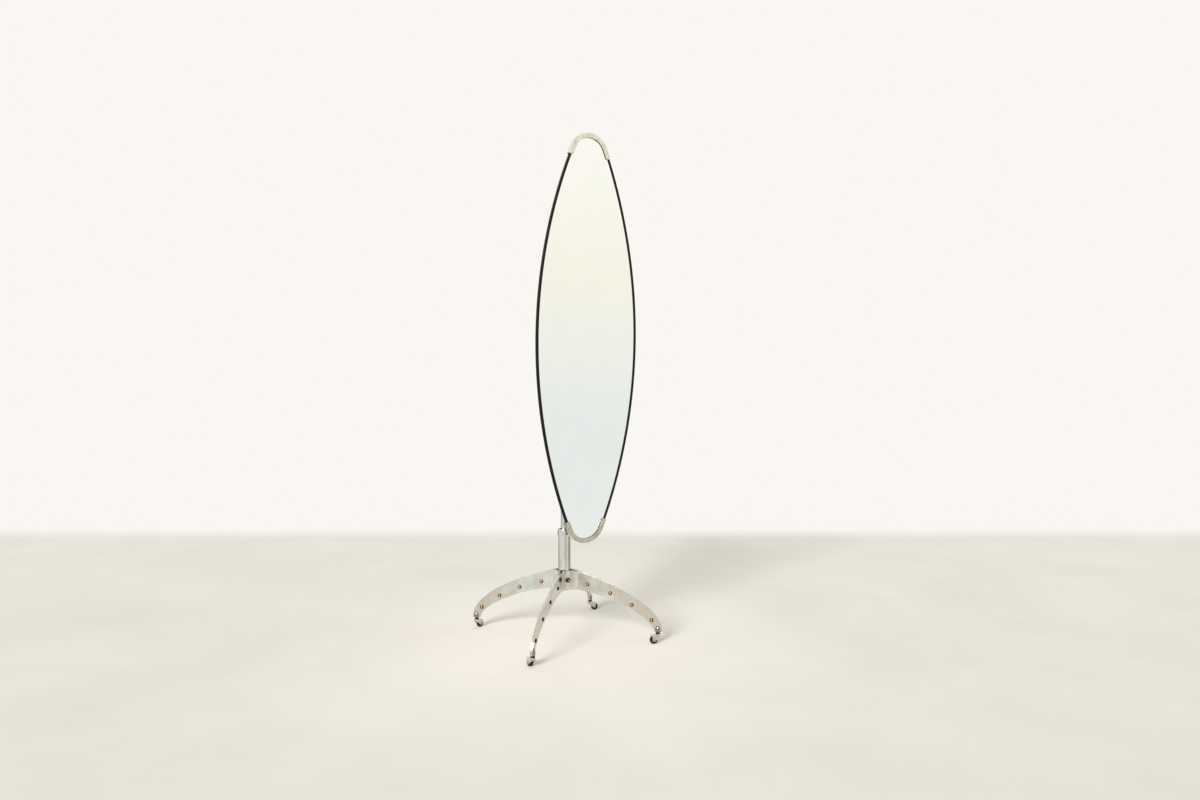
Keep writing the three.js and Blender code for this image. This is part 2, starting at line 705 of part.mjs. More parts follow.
// side view of the room for the wheel, open below and behind
function forkHollow() {
  const { start, end, drop } = FORK_HOOD;
  const [front, behind, roof] = [2 * FORK_WALL - FORK_NOSE.radius, end + 1, FORK_TOP - FORK_WALL];
  const shape = new THREE.Shape();
  shape.moveTo(front, 0);
  shape.lineTo(front, roof);
  shape.lineTo(start, roof);
  shape.lineTo(behind, roof - drop * (behind - start) / (end - start));
  shape.lineTo(behind, 0);
  return shape;
}

// the fork from above, with a round nose
function forkPlan() {
  const corner = Math.asin(FORK_HALF / FORK_NOSE.radius);
  const behind = FORK_HOOD.end + 1;
  const shape = new THREE.Shape();
  shape.moveTo(behind, -FORK_HALF);
  shape.lineTo(behind, FORK_HALF);
  shape.absarc(0, 0, FORK_NOSE.radius, Math.PI - corner, Math.PI + corner, false);
  return shape;
}

// pressed from one sheet, with the swivel's race and stem riveted on top
function fork() {
  const inside = FORK_HALF - FORK_WALL;
  const whole = common(
    alongY(forkSide(), -FORK_HALF, FORK_HALF, 4),
    alongZ(forkPlan(), 0, FORK_TOP + 1, 3),
  );
  const shell = cut(whole, alongY(forkHollow(), -inside, inside));
  const swivel = turned([
    [0, FORK_TOP - 1], [RACE_RADIUS, FORK_TOP - 1], [RACE_RADIUS, SOCKET_BOTTOM - GAP],
    [STEM_RADIUS, SOCKET_BOTTOM - GAP], [STEM_RADIUS, STEM_TOP], [0, STEM_TOP],
  ], 12);
  const pin = turnedY(rod(AXLE + GAP, -FORK_HALF - 1, FORK_HALF + 1), 8);
  return cut(join(shell, swivel), pin.translate(TRAIL, 0, WHEEL_RADIUS));
}

function axle() {
  const seat = FORK_HALF + GAP;
  const head = [[AXLE + 1.4, seat], [AXLE + 0.8, seat + 1.2], [0, seat + 1.2]];
  const foot = head.map(([radius, height]) => [radius, -height]).reverse();
  const profile = [...foot, [AXLE, -seat], [AXLE, seat], ...head];
  return turnedY(profile, 8).translate(TRAIL, 0, WHEEL_RADIUS);
}

// the tyre stands on a facet: its sides are struck round the true wheel radius
function tread() {
  const rim = WHEEL_RADIUS / Math.cos(Math.PI / WHEEL_SIDES);
  const inner = WHEEL_HUB + GAP;
  const profile = [
    [inner, -TREAD_HALF + 0.5], [rim - 2, -TREAD_HALF + 0.5], [rim, -TREAD_HALF + 2.5],
    [rim, TREAD_HALF - 2.5], [rim - 2, TREAD_HALF - 0.5], [inner, TREAD_HALF - 0.5],
    [inner, -TREAD_HALF + 0.5],
  ];
  const wheel = turnedY(profile, WHEEL_SIDES, Math.PI / WHEEL_SIDES);
  return wheel.translate(TRAIL, 0, WHEEL_RADIUS);
}

function wheelHub() {
  const bore = AXLE + RUNNING;
  const profile = [
    [bore, -TREAD_HALF], [bore + 2, -TREAD_HALF], [WHEEL_HUB, -TREAD_HALF + 2],
    [WHEEL_HUB, TREAD_HALF - 2], [bore + 2, TREAD_HALF], [bore, TREAD_HALF],
    [bore, -TREAD_HALF],
  ];
  return turnedY(profile, 12).translate(TRAIL, 0, WHEEL_RADIUS);
}

function buildCaster(parent, leg) {
  const turn = degrees(leg.angle);
  const [x, y] = [CASTER_RADIUS * Math.cos(turn), CASTER_RADIUS * Math.sin(turn)];
  const fixed = place(parent, x, y, 0, turn);
  piece(fixed, `caster_socket_${leg.name}`, socket(), finishes.chrome);
  const swivel = place(parent, x, y, 0, degrees(leg.trail));
  piece(swivel, `caster_fork_${leg.name}`, fork(), finishes.chrome);
  piece(swivel, `caster_axle_${leg.name}`, axle(), finishes.steel);
  piece(swivel, `wheel_tread_${leg.name}`, tread(), finishes.tread);
  piece(swivel, `wheel_hub_${leg.name}`, wheelHub(), finishes.hub);
}

// ---------------------------------------------------------------- the whole

const model = new THREE.Group();
buildBase(model);
buildColumn(model);
piece(model, 'mast_rod', mast(), finishes.tube);
buildHead(model);
buildMirror(model);
LEGS.forEach((leg) => buildCaster(model, leg));

export default model;
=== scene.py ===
"""Rolling floor mirror: the finish of every surface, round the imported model.

Shapes are drawn in millimetres, in the model's own frame: +Z is up, the origin is on
the floor on the mast's axis, and the mirror faces -Y. They become metres when a mesh
is made. Places are read from the model's nodes.
"""

import math

import bmesh
import bpy
from mathutils import Matrix, Vector


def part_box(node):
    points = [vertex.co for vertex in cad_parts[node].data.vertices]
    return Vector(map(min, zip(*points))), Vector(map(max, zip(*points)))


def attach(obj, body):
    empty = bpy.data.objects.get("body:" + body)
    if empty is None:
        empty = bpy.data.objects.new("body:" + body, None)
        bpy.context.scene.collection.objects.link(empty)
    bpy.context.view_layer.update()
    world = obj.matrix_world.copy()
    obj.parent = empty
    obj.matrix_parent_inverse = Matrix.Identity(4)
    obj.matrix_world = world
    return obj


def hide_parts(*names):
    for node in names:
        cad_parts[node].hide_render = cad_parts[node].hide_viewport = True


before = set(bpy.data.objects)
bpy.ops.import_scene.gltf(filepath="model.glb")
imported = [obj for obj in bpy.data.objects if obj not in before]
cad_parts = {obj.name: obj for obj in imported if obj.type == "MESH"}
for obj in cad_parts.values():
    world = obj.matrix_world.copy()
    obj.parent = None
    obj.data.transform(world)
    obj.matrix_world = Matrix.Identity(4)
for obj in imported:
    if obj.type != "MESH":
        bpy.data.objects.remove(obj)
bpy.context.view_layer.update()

# ---- sizes

MM = 0.001
GAP = 0.3  # air between two pieces that touch
RUNNING = 0.4  # radial play of what slides or turns
MERGE = 0.002  # vertices nearer than this are one
PAST = 1  # how far cutters, overlaps and bolt ends reach past a face

PLATE = 4  # sheet of the leg plates
PLATE_PAIR_GAP = 0.4
HUB_TOP = 265
HUB_BOTTOM = 188
ARCH_START = 40
UPPER_EDGE = {"run": 120, "rise": -26, "foot": 110}
LOWER_EDGE = {"run": 118, "rise": 0, "foot": 54}
FOOT_OUTER = 397
FOOT_INNER = 366
FOOT_BOTTOM = 45
RIVET_HEAD = 7.8
RIVET_RISE = 4
RIVET_SHANK = 3
HUB_BOLT = 4
HUB_BOLT_END = 14
HUB_BOLT_HEAD = 7.5
HUB_BOLT_RISE = 5
HUB_WASHER = 9.5
HUB_WASHER_THICKNESS = 1.4

TUBE_WALL = 3
COLLAR_LIP = 1.5
COLLAR_CHAMFER = 1
LOCK_SCREW_SHANK = 2.5
LOCK_SCREW_HEAD = 4.5
LOCK_SCREW_RISE = 2.5
LOCK_SLOT_HALF = 0.5
LOCK_SLOT_FLOOR = 1.2  # over the collar
MAST_WALL = 2
MAST_EDGE = 2

CLAMP_RADIUS = 24
CLAMP_HALF = 28
ARM_HALF = 9
ARM_RISE = 18
ARM_TAPER = 24
FORK_BACK = 10
LUG_HALF = 11
LUG_REACH = 42
LUG_SLIT = 1.5
LUG_BOLT = 3
LUG_BOLT_Y = 33
LUG_NUT = 5  # height of nut and head
LUG_NUT_RADIUS = 5.5
HINGE_BOLT = 4
HINGE_HEAD = 7.5
HINGE_HEAD_HEIGHT = 5.5
KNOB_RADIUS = 16
KNOB_WAVE = 2.2
KNOB_LOBES = 5
KNOB_NECK = 3
KNOB_NECK_RADIUS = 8
KNOB_GRIP = 13
KNOB_EDGE = 2.4
KNOB_BOLT_END = 28
KNUCKLE_RADIUS = 15
FORK_DEPTH = 3  # of the slot between the ears, behind the knuckle
TONGUE_HALF = 6
TONGUE_RADIUS = 14
TONGUE_FOOT = 3
EAR = 8

MIRROR_HALF_WIDTH = 216
MIRROR_HALF_HEIGHT = 772
SIDE_RADIUS = 1897
GLASS = 5
GLASS_EDGE = 0.5
RUBBER_FACE_FRONT = 10  # how far the rubber's lips cover the glass
RUBBER_FACE_BACK = 7
RUBBER_LIP = 2
RUBBER_ROUND = 1.6
PANEL = 9
PANEL_EDGE = 0.8
PANEL_INSET = 8
CAP_WALL = 2.2
CAP_LIP = 18
CAP_END_HEIGHT = 689
CAP_CORNER = 8
CAP_BEND = 2.4
CAP_SCREW = (3.4, 2, 1.4, 6)  # head radius, rise, shank radius, length
CAP_SCREW_INSET = 12
CAP_SCREW_ANGLES = (48, 132)
GLASS_FRONT = -50
MIRROR_LEAN = 1.3  # degrees, top forward
BRACKET_HALF_WIDTH = 55
BRACKET_HALF_HEIGHT = 100
BRACKET_CORNER = 12
BRACKET_THICKNESS = 5
BRACKET_SCREW = (4.4, 2.6, 1.9, 8)
BRACKET_SCREW_PLACES = ((-42, -86), (42, -86), (42, 86), (-42, 86))

TREAD_HALF = 6.5
FORK_HALF = 9.5
FORK_WALL = 2
FORK_TOP = 37
FORK_NOSE = 12  # radius of the crown, in front of the stem
FORK_NOSE_HEIGHT = 9
HOOD_START = 8  # the slope over the wheel, from the stem back
HOOD_END = 27
HOOD_DROP = 5.5
HOOD_HEIGHT = 5
FORK_BOSS = 5.5
AXLE = 2.2
AXLE_HEAD = 3.6
AXLE_RISE = 1.2
WHEEL_HUB = 8.4
RACE_RADIUS = 8.3
SOCKET_RADIUS = 9.8
SOCKET_BOTTOM = 44
SOCKET_TOP = 69
SOCKET_NOSE = 15  # height of its pointed end
STEM_RADIUS = 4
STEM_TOP = 60

LEGS = ("front_left", "front_right", "back_right", "back_left")
PLATES = ("front", "right", "back", "left")
RIVETS_PER_LEG = 4

# ---- places


def centre(node):
    """The middle of a node's box, in millimetres."""
    low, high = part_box(node)
    return (low + high) / (2 * MM)


def half_size(node):
    """Half of each side of a node's box, in millimetres."""
    low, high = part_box(node)
    return (high - low) / (2 * MM)


def heading(vector):
    """The direction of a vector seen from above, in radians."""
    return math.atan2(vector.y, vector.x)


def at(x, y, z, turn=0.0):
    """A place in millimetres, turned about the vertical."""
    return Matrix.Translation(Vector((x, y, z)) * MM) @ Matrix.Rotation(turn, 4, "Z")


TUBE_RADIUS = half_size("column_tube").x
COLLAR_RADIUS = half_size("column_collar").x
MAST_RADIUS = half_size("mast_rod").x
WHEEL_RADIUS = half_size("wheel_tread_front_left").z
PIVOT = centre("hinge_bolt")
PIVOT.x = 0
HEAD = at(0, 0, PIVOT.z)
MIRROR = at(*PIVOT) @ Matrix.Rotation(math.radians(MIRROR_LEAN), 4, "X")

# ---- mesh tools

AXES = {
    "X": lambda a, b, along: (along, a, b),
    "Y": lambda a, b, along: (a, along, b),
    "Z": lambda a, b, along: (a, b, along),
}


def solid(vertices, faces):
    """A mesh object from vertices in millimetres, with its faces turned outwards."""
    mesh = bpy.data.meshes.new("solid")
    mesh.from_pydata([Vector(vertex) * MM for vertex in vertices], [], faces)
    pale_tone(mesh)
    made = bpy.data.objects.new("solid", mesh)
    bpy.context.scene.collection.objects.link(made)
    return made


def prism(outline, low, high, axis="Z"):
    """An outline extruded along an axis between two places."""
    count = len(outline)
    place = AXES[axis]
    vertices = [place(a, b, low) for a, b in outline]
    vertices += [place(a, b, high) for a, b in outline]
    sides = [(i, (i + 1) % count, count + (i + 1) % count, count + i) for i in range(count)]
    ends = [tuple(range(count)), tuple(range(count, 2 * count))]
    return solid(vertices, sides + ends)


def block(x, y, z):
    """A box between pairs of places along the three axes."""
    corners = [(x[0], y[0]), (x[1], y[0]), (x[1], y[1]), (x[0], y[1])]
    return prism(corners, z[0], z[1])


def skin(rings, loop=False):
    """A surface over rings of as many points each, closed at its ends or on itself."""
    count = len(rings[0])
    vertices = [point for ring in rings for point in ring]
    spans = len(rings) if loop else len(rings) - 1
    faces = []
    for i in range(spans):
        here, there = i * count, (i + 1) % len(rings) * count
        for j in range(count):
            k = (j + 1) % count
            faces.append((here + j, here + k, there + k, there + j))
    if not loop:
        faces += [tuple(range(count)), tuple(range(len(vertices) - count, len(vertices)))]
    return solid(vertices, faces)


def revolve(profile, axis="Z", segments=64):
    """A closed profile of (radius, place along the axis) turned round that axis."""
    rings = []
    for i in range(segments):
        angle = 2 * math.pi * i / segments
        turn = (math.cos(angle), math.sin(angle))
        rings.append([AXES[axis](r * turn[0], r * turn[1], along) for r, along in profile])
    made = skin(rings, loop=True)
    pale_tone(made.data, MERGE)
    return made


def pale_tone(mesh, merge=0):
    """Turns the faces outwards. Before that it merges vertices within a distance and
    drops the faces that this flattens."""
    work = bmesh.new()
    work.from_mesh(mesh)
    if merge:
        bmesh.ops.remove_doubles(work, verts=work.verts, dist=merge * MM)
        bmesh.ops.dissolve_degenerate(work, edges=work.edges, dist=merge * MM)
    bmesh.ops.recalc_face_normals(work, faces=work.faces)
    work.to_mesh(mesh)
    work.free()


def combine(operation, first, *others):
    """Unites the first solid with the others, or cuts them from it, and deletes them."""
    for other in others:
        modifier = first.modifiers.new(operation, "BOOLEAN")
        modifier.operation = operation
        modifier.solver = "EXACT"
        modifier.object = other
    graph = bpy.context.evaluated_depsgraph_get()
    mesh = bpy.data.meshes.new_from_object(first.evaluated_get(graph))
    first.modifiers.clear()
    first.data = mesh
    for other in others:
        bpy.data.objects.remove(other)
    pale_tone(first.data, MERGE)
    return first


def moved(target, matrix):
    """The same solid, with its vertices moved."""
    target.data.transform(matrix)
    return target


def arc(x, y, radius, start, end, steps):
    """Points along an arc, with its angles in degrees."""
    points = []
    for i in range(steps + 1):
        angle = math.radians(start + (end - start) * i / steps)
        points.append((x + radius * math.cos(angle), y + radius * math.sin(angle)))
    return points


def bezier(start, first, second, end, steps):
    """Points along a cubic curve between two points with two handles."""
    points = []
    for i in range(steps + 1):
        t = i / steps
        weights = ((1 - t) ** 3, 3 * t * (1 - t) ** 2, 3 * t * t * (1 - t), t ** 3)
        corners = (start, first, second, end)
        points.append(tuple(sum(w * p[k] for w, p in zip(weights, corners)) for k in (0, 1)))
    return points


def rod(radius, low, high):
    return [(0, low), (radius, low), (radius, high), (0, high)]


def tube(inner, outer, low, high):
    return [(inner, low), (outer, low), (outer, high), (inner, high)]


def mirrored(profile):
    """The same profile on the other side of the middle, drawn back."""
    return [(radius, -along) for radius, along in reversed(profile)]


def dome(radius, rise, seat, steps=8):
    """The profile of a domed head, from its rim at the seat up to the middle."""
    points = [(radius, seat)]
    for i in range(steps + 1):
        angle = math.radians(12 + 78 * i / steps)
        points.append((radius * math.cos(angle), seat + rise * math.sin(angle)))
    points[-1] = (0, seat + rise)
    return points


def hexagon(radius):
    return arc(0, 0, radius, 30, 330, 5)


def soften(target, width, angle=28, segments=2):
    """Rounds the edges and smooths the shading between faces that nearly line up."""
    target.data.polygons.foreach_set("use_smooth", [True] * len(target.data.polygons))
    target.data.set_sharp_from_angle(angle=math.radians(angle))
    bevel = target.modifiers.new("edges", "BEVEL")
    bevel.width = width * MM
    bevel.segments = segments
    bevel.limit_method = "ANGLE"
    bevel.angle_limit = math.radians(angle)
    bevel.use_clamp_overlap = False
    bevel.harden_normals = True


def dress(target, name, body, slot, place=Matrix(), edge=0.3, stands_for=(), finish=None):
    """Names a finished solid, gives it the finish of its slot, or another one of
    FINISHES, and puts it on its body."""
    target.name = name
    target.data.name = name
    target.data.materials.clear()
    target.data.materials.append(FINISHES[finish or slot])
    moved(target, place)
    if edge:
        soften(target, edge)
    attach(target, body)
    if stands_for:
        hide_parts(*stands_for)


def copy_of(source):
    """A second object with its own copy of the mesh."""
    made = source.copy()
    made.data = source.data.copy()
    bpy.context.scene.collection.objects.link(made)
    return made


# ---- material tools


def tone(red, green, blue):
    """A colour written as it shows on screen, 0 to 255, as linear light."""
    def linear(value):
        share = value / 255
        return share / 12.92 if share <= 0.04045 else ((share + 0.055) / 1.055) ** 2.4
    return (linear(red), linear(green), linear(blue), 1.0)


class Shading:
    """A node tree that is built up from small steps."""

    def __init__(self, tree):
        self.tree = tree

    def feed(self, socket, source):
        """Gives a socket a link from another one, or a value."""
        if isinstance(source, bpy.types.NodeSocket):
            self.tree.links.new(source, socket)
        else:
            socket.default_value = source

    def fill(self, node, **sources):
        """Feeds sockets of a node by their names, with a _ for each space."""
        for name, source in sources.items():
            self.feed(node.inputs[name.replace("_", " ")], source)
        return node

    def node(self, kind, **sources):
        return self.fill(self.tree.nodes.new(kind), **sources)

    def joined(self, operation, first, second):
        """The result of a calculation on two values."""
        node = self.node("ShaderNodeMath")
        node.operation = operation
        self.feed(node.inputs[0], first)
        self.feed(node.inputs[1], second)
        return node.outputs["Value"]

    def reach(self, vector, direction):
        """How far a vector goes in a direction."""
        node = self.node("ShaderNodeVectorMath", Vector=vector)
        node.operation = "DOT_PRODUCT"
        self.feed(node.inputs[1], direction)
        return node.outputs["Value"]

    def ranged(self, source, low, high, start=0.3, end=0.7):
        """A value that goes from low to high while its source goes from start to end."""
        return self.node(
            "ShaderNodeMapRange", Value=source, From_Min=start, From_Max=end, To_Min=low,
            To_Max=high,
        ).outputs["Result"]

    def mixed(self, factor, first, second, blend="MIX"):
        """Goes from the first colour to the second; each is a colour or a socket."""
        node = self.node("ShaderNodeMix", Factor=factor)
        node.data_type = "RGBA"
        node.blend_type = blend
        self.feed(node.inputs[6], first)
        self.feed(node.inputs[7], second)
        return node.outputs[2]

    def shaded(self, source, first, second, start=0.3, end=0.7, most=1.0):
        """Goes from the first colour to the second while the source goes from start to
        end, or that share of the way."""
        return self.mixed(self.ranged(source, 0, most, start, end), first, second)

    def blended(self, factor, first, second):
        """Goes from the first shader to the second."""
        node = self.node("ShaderNodeMixShader", Fac=factor)
        self.feed(node.inputs[1], first)
        self.feed(node.inputs[2], second)
        return node.outputs["Shader"]

    def ramp(self, source, low, high, stops):
        """A colour ramp whose stops are given by the value of its source."""
        made = self.node("ShaderNodeValToRGB", Fac=self.ranged(source, 0, 1, low, high))
        elements = made.color_ramp.elements
        elements.remove(elements[1])
        elements[0].position = (stops[0][0] - low) / (high - low)
        elements[0].color = stops[0][1]
        for value, colour in stops[1:]:
            elements.new((value - low) / (high - low)).color = colour
        return made.outputs["Color"]


class Finish(Shading):
    """A principled material that is built up from noise in the piece's own space."""

    def __init__(self, name, metallic=0.0, **sockets):
        self.material = bpy.data.materials.new(name)
        self.material.use_nodes = True
        super().__init__(self.material.node_tree)
        self.shader = self.fill(self.tree.nodes["Principled BSDF"], Metallic=metallic, **sockets)
        self.place = self.node("ShaderNodeTexCoord").outputs["Object"]

    def stretched(self, stretch):
        """The place, scaled along the axes, so that what is drawn on it becomes streaks."""
        return self.node("ShaderNodeMapping", Vector=self.place, Scale=stretch).outputs["Vector"]

    def noise(self, size, detail=3.0, stretch=(1, 1, 1), roughness=0.5):
        """Cloudy noise whose blotches measure about size millimetres."""
        return self.node(
            "ShaderNodeTexNoise", Vector=self.stretched(stretch), Scale=1 / (size * MM),
            Detail=detail, Roughness=roughness,
        ).outputs["Fac"]

    def distance(self):
        """How far a point is from the mast's axis, in metres."""
        node = self.node("ShaderNodeVectorMath", Vector=self.stretched((1, 1, 0)))
        node.operation = "LENGTH"
        return node.outputs["Value"]

    def surface(self, colour, roughness, *reliefs):
        """The finished material. A relief is a source, its full height in millimetres and
        its strength."""
        self.fill(self.shader, Base_Color=colour, Roughness=roughness)
        for source, height, strength in reliefs:
            bump = self.node(
                "ShaderNodeBump", Height=source, Distance=height * MM, Strength=strength,
            )
            if self.shader.inputs["Normal"].links:
                self.fill(bump, Normal=self.shader.inputs["Normal"].links[0].from_socket)
            self.fill(self.shader, Normal=bump.outputs["Normal"])
        return self.material


# ---- finishes


def satin_aluminium():
    """Rolled sheet, polished and gone patchy. Painted shade darkens it towards the feet and, near
    the column, turns the faces that look at it and the tops nearly black."""
    finish = Finish("satin_aluminium", metallic=1.0)
    cloud = finish.noise(46, detail=5)
    spots = finish.noise(7, detail=6, roughness=0.7)
    brush = finish.noise(2.2, detail=4, stretch=(0.05, 0.05, 1))
    base = finish.shaded(cloud, tone(236, 237, 234), tone(214, 210, 197))
    wear_and_painted_light = finish.shaded(spots, base, tone(150, 145, 130), 0.54, 0.72, most=0.6)
    reach = finish.distance()
    # painted shade: from 0.15 to 0.36 m out from the column the plates darken towards the feet
    painted_shade_tone = finish.shaded(reach, wear_and_painted_light, tone(196, 190, 174), 0.15, 0.36, most=0.6)
    # painted shade: near the column, the faces that look at it and the upward faces turn nearly
    # black
    normal = finish.node("ShaderNodeNewGeometry").outputs["Normal"]
    inward = finish.reach(finish.stretched((1, 1, 0)), normal)
    inner_face = finish.ranged(inward, 1, 0, -4 * MM, -1 * MM)
    up = finish.node("ShaderNodeSeparateXYZ", Vector=normal).outputs["Z"]
    shade_faces = finish.joined("MAXIMUM", inner_face, finish.ranged(up, 0, 0.75, 0.7, 0.9))
    pocket_shade = finish.joined("MULTIPLY", shade_faces, finish.ranged(reach, 1, 0, 0.055, 0.085))
    colour = finish.mixed(pocket_shade, painted_shade_tone, tone(30, 27, 24))
    dullness = finish.ranged(spots, 0.11, 0.24)
    return finish.surface(colour, dullness, (brush, 0.02, 0.4), (cloud, 0.4, 0.2))


RIM = "rim"  # attribute: 0 in the middle of a head, 1 at its edge


def aged_copper():
    """Copper heads, pale gold in the middle as a painted highlight and dark brown at the rim
    as painted shade.
    """
    finish = Finish("aged_copper", metallic=1.0)
    patina = finish.noise(3.5, detail=5, roughness=0.65)
    fine = finish.noise(0.7, detail=3)
    copper = finish.shaded(patina, tone(170, 116, 78), tone(108, 70, 46), 0.38, 0.62)
    attribute = finish.node("ShaderNodeAttribute")
    attribute.attribute_name = RIM
    rim = attribute.outputs["Fac"]
    # painted highlight: pale gold in the middle of each head; painted shade: dark brown towards its
    # rim
    wear_and_painted_light = finish.shaded(rim, tone(226, 188, 144), copper, 0.2, 0.45)
    colour = finish.shaded(rim, wear_and_painted_light, tone(50, 34, 24), 0.5, 0.8, most=0.95)
    return finish.surface(colour, finish.ranged(patina, 0.2, 0.42), (fine, 0.05, 0.4))


def satin_tube():
    """Drawn tube with fine lines along it and a faint warm tarnish."""
    finish = Finish("satin_tube", metallic=1.0)
    lines = finish.noise(1.6, detail=4, stretch=(1, 1, 0.03))
    cloud = finish.noise(38, detail=4, stretch=(1, 1, 0.4))
    colour = finish.shaded(cloud, tone(230, 229, 223), tone(206, 201, 188), 0.4, 0.68)
    return finish.surface(colour, finish.ranged(lines, 0.16, 0.28), (lines, 0.02, 0.35))


def chrome(name, pale_tone, wear_and_painted_light, patch_share):
    """Plated and polished, with a faint haze, and rubbed through in patches. On the fork and
    socket the patches are also painted reflection of dark surroundings.
    """
    finish = Finish(name, metallic=1.0)
    haze = finish.noise(12, detail=5)
    patches = finish.noise(3.4, detail=6, roughness=0.65)
    colour = finish.shaded(patches, pale_tone, wear_and_painted_light, 0.5, 0.64, most=patch_share)
    return finish.surface(colour, finish.ranged(haze, 0.03, 0.12))


def polished_cap():
    """Hand-polished aluminium, rippled by the bending, with grey smudges, and darker near the
    floor as painted shade."""
    finish = Finish("polished_cap", metallic=1.0)
    smudge = finish.noise(14, detail=5, roughness=0.6)
    ripple = finish.noise(26, detail=2)
    smudge_share = finish.ranged(smudge, 0, 1, 0.36, 0.66)
    # a lit copy and a painted shade copy of the smudged tone; the cap turns to the shaded one from
    # 1.6 m down to 0.8 m
    pale_tone = finish.mixed(smudge_share, tone(236, 232, 221), tone(204, 198, 183))
    painted_shade_tone = finish.mixed(smudge_share, tone(210, 205, 192), tone(184, 178, 163))
    height = finish.node("ShaderNodeSeparateXYZ", Vector=finish.place).outputs["Z"]
    colour = finish.shaded(height, painted_shade_tone, pale_tone, 0.8, 1.6)
    return finish.surface(colour, finish.ranged(smudge, 0.14, 0.26), (ripple, 0.4, 0.25))


def mottled(name, blotch, first, second, spread, dullness, relief, grain=None, **settings):
    """Two tones in blotches of a given size, detail and roughness. The gloss follows
    them, and so does the relief, unless it has a grain of its own."""
    finish = Finish(name, **settings)
    size, detail, fineness = blotch
    noise = finish.noise(size, detail, roughness=fineness)
    colour = finish.shaded(noise, first, second, *spread)
    fine = finish.noise(*grain) if grain else noise
    return finish.surface(colour, finish.ranged(noise, *dullness), (fine, *relief))


def painted_casting():
    """Silver stoving paint over sand-cast metal."""
    finish = Finish("painted_casting", metallic=0.85)
    grain = finish.noise(1.5, detail=5, roughness=0.6)
    cloud = finish.noise(24, detail=4)
    colour = finish.shaded(cloud, tone(196, 197, 195), tone(176, 177, 176))
    return finish.surface(colour, finish.ranged(grain, 0.36, 0.52), (grain, 0.14, 0.6))


def silvered_glass():
    """A clean mirror with a trace of haze from wiping."""
    finish = Finish("silvered_glass", metallic=1.0)
    haze = finish.noise(90, detail=5, stretch=(1, 1, 0.5))
    colour = finish.shaded(haze, tone(251, 252, 251), tone(248, 250, 249))
    return finish.surface(colour, finish.ranged(haze, 0.0, 0.012, 0.45, 0.75))


def sealed_board():
    """Hardboard with a dark brown seal, its fibres still showing."""
    finish = Finish("sealed_board")
    fibre = finish.noise(1.6, detail=5, stretch=(1, 1, 0.3), roughness=0.65)
    cloud = finish.noise(60, detail=5)
    base = finish.shaded(cloud, tone(74, 62, 52), tone(58, 48, 41))
    colour = finish.shaded(fibre, base, tone(104, 88, 72), 0.5, 0.72, most=0.5)
    return finish.surface(colour, finish.ranged(fibre, 0.5, 0.68), (fibre, 0.12, 0.5))


FINISHES = {
    "plate": satin_aluminium(),
    "copper": aged_copper(),
    "tube": satin_tube(),
    "chrome": chrome("bright_chrome", tone(222, 223, 224), tone(150, 140, 130), 0.4),
    # fork: its many brown patches are partly wear, partly painted reflection of dark surroundings
    "fork": chrome("worn_shaded_chrome", tone(214, 213, 210), tone(116, 98, 82), 0.9),
    # socket: darker all over as painted shade for the dark its sides reflect; its brown patches are
    # partly wear, partly painted reflection
    "socket": chrome("dark_chrome", tone(150, 148, 148), tone(92, 74, 62), 0.8),
    "cap": polished_cap(),
    "steel": mottled(
        "zinc_steel", (2.4, 5, 0.6), tone(186, 187, 188), tone(142, 142, 144), (0.3, 0.7),
        (0.28, 0.48), (0.04, 0.4), metallic=1.0,
    ),
    "race": mottled(  # dark brown steel, darker in patches
        "brown_steel", (2.2, 6, 0.7), tone(62, 36, 27), tone(26, 17, 15), (0.36, 0.62),
        (0.35, 0.65), (0.12, 0.5), metallic=0.8,
    ),
    "cast": painted_casting(),
    "mirror": silvered_glass(),
    "rubber": mottled(  # near black and a little dusty
        "black_rubber", (7, 6, 0.65), tone(11, 11, 12), tone(27, 26, 25), (0.45, 0.75),
        (0.22, 0.42), (0.03, 0.4), (0.9, 2), Specular_IOR_Level=0.2,
    ),
    "black_plastic": mottled(
        "black_plastic", (18, 4, 0.5), tone(34, 34, 35), tone(46, 45, 44), (0.3, 0.7),
        (0.42, 0.58), (0.06, 0.6), (0.8, 3),
    ),
    "board": sealed_board(),
    "tread": mottled(  # brown-black rubber, scuffed paler where it runs
        "brown_tread", (2.6, 6, 0.7), tone(9, 6, 6), tone(26, 20, 17), (0.42, 0.7),
        (0.34, 0.62), (0.1, 0.5), Specular_IOR_Level=0.3,
    ),
    "hub": mottled(  # light brown plastic with road dirt
        "brown_hub", (3.2, 5, 0.6), tone(150, 124, 100), tone(82, 62, 50), (0.4, 0.7),
        (0.34, 0.55), (0.05, 0.4),
    ),
}

# ---- base plates

SHEET_MIDDLE = (PLATE_PAIR_GAP + PLATE) / 2
LEG_HALF = PLATE_PAIR_GAP / 2 + PLATE
PANEL_INNER = TUBE_RADIUS + GAP
PANEL_OUTER = PANEL_INNER + PLATE
BEND_RADIUS = (PANEL_INNER + PLATE / 2 - math.sqrt(2) * SHEET_MIDDLE) / (math.sqrt(2) - 1)
BEND_INSIDE = BEND_RADIUS - PLATE / 2


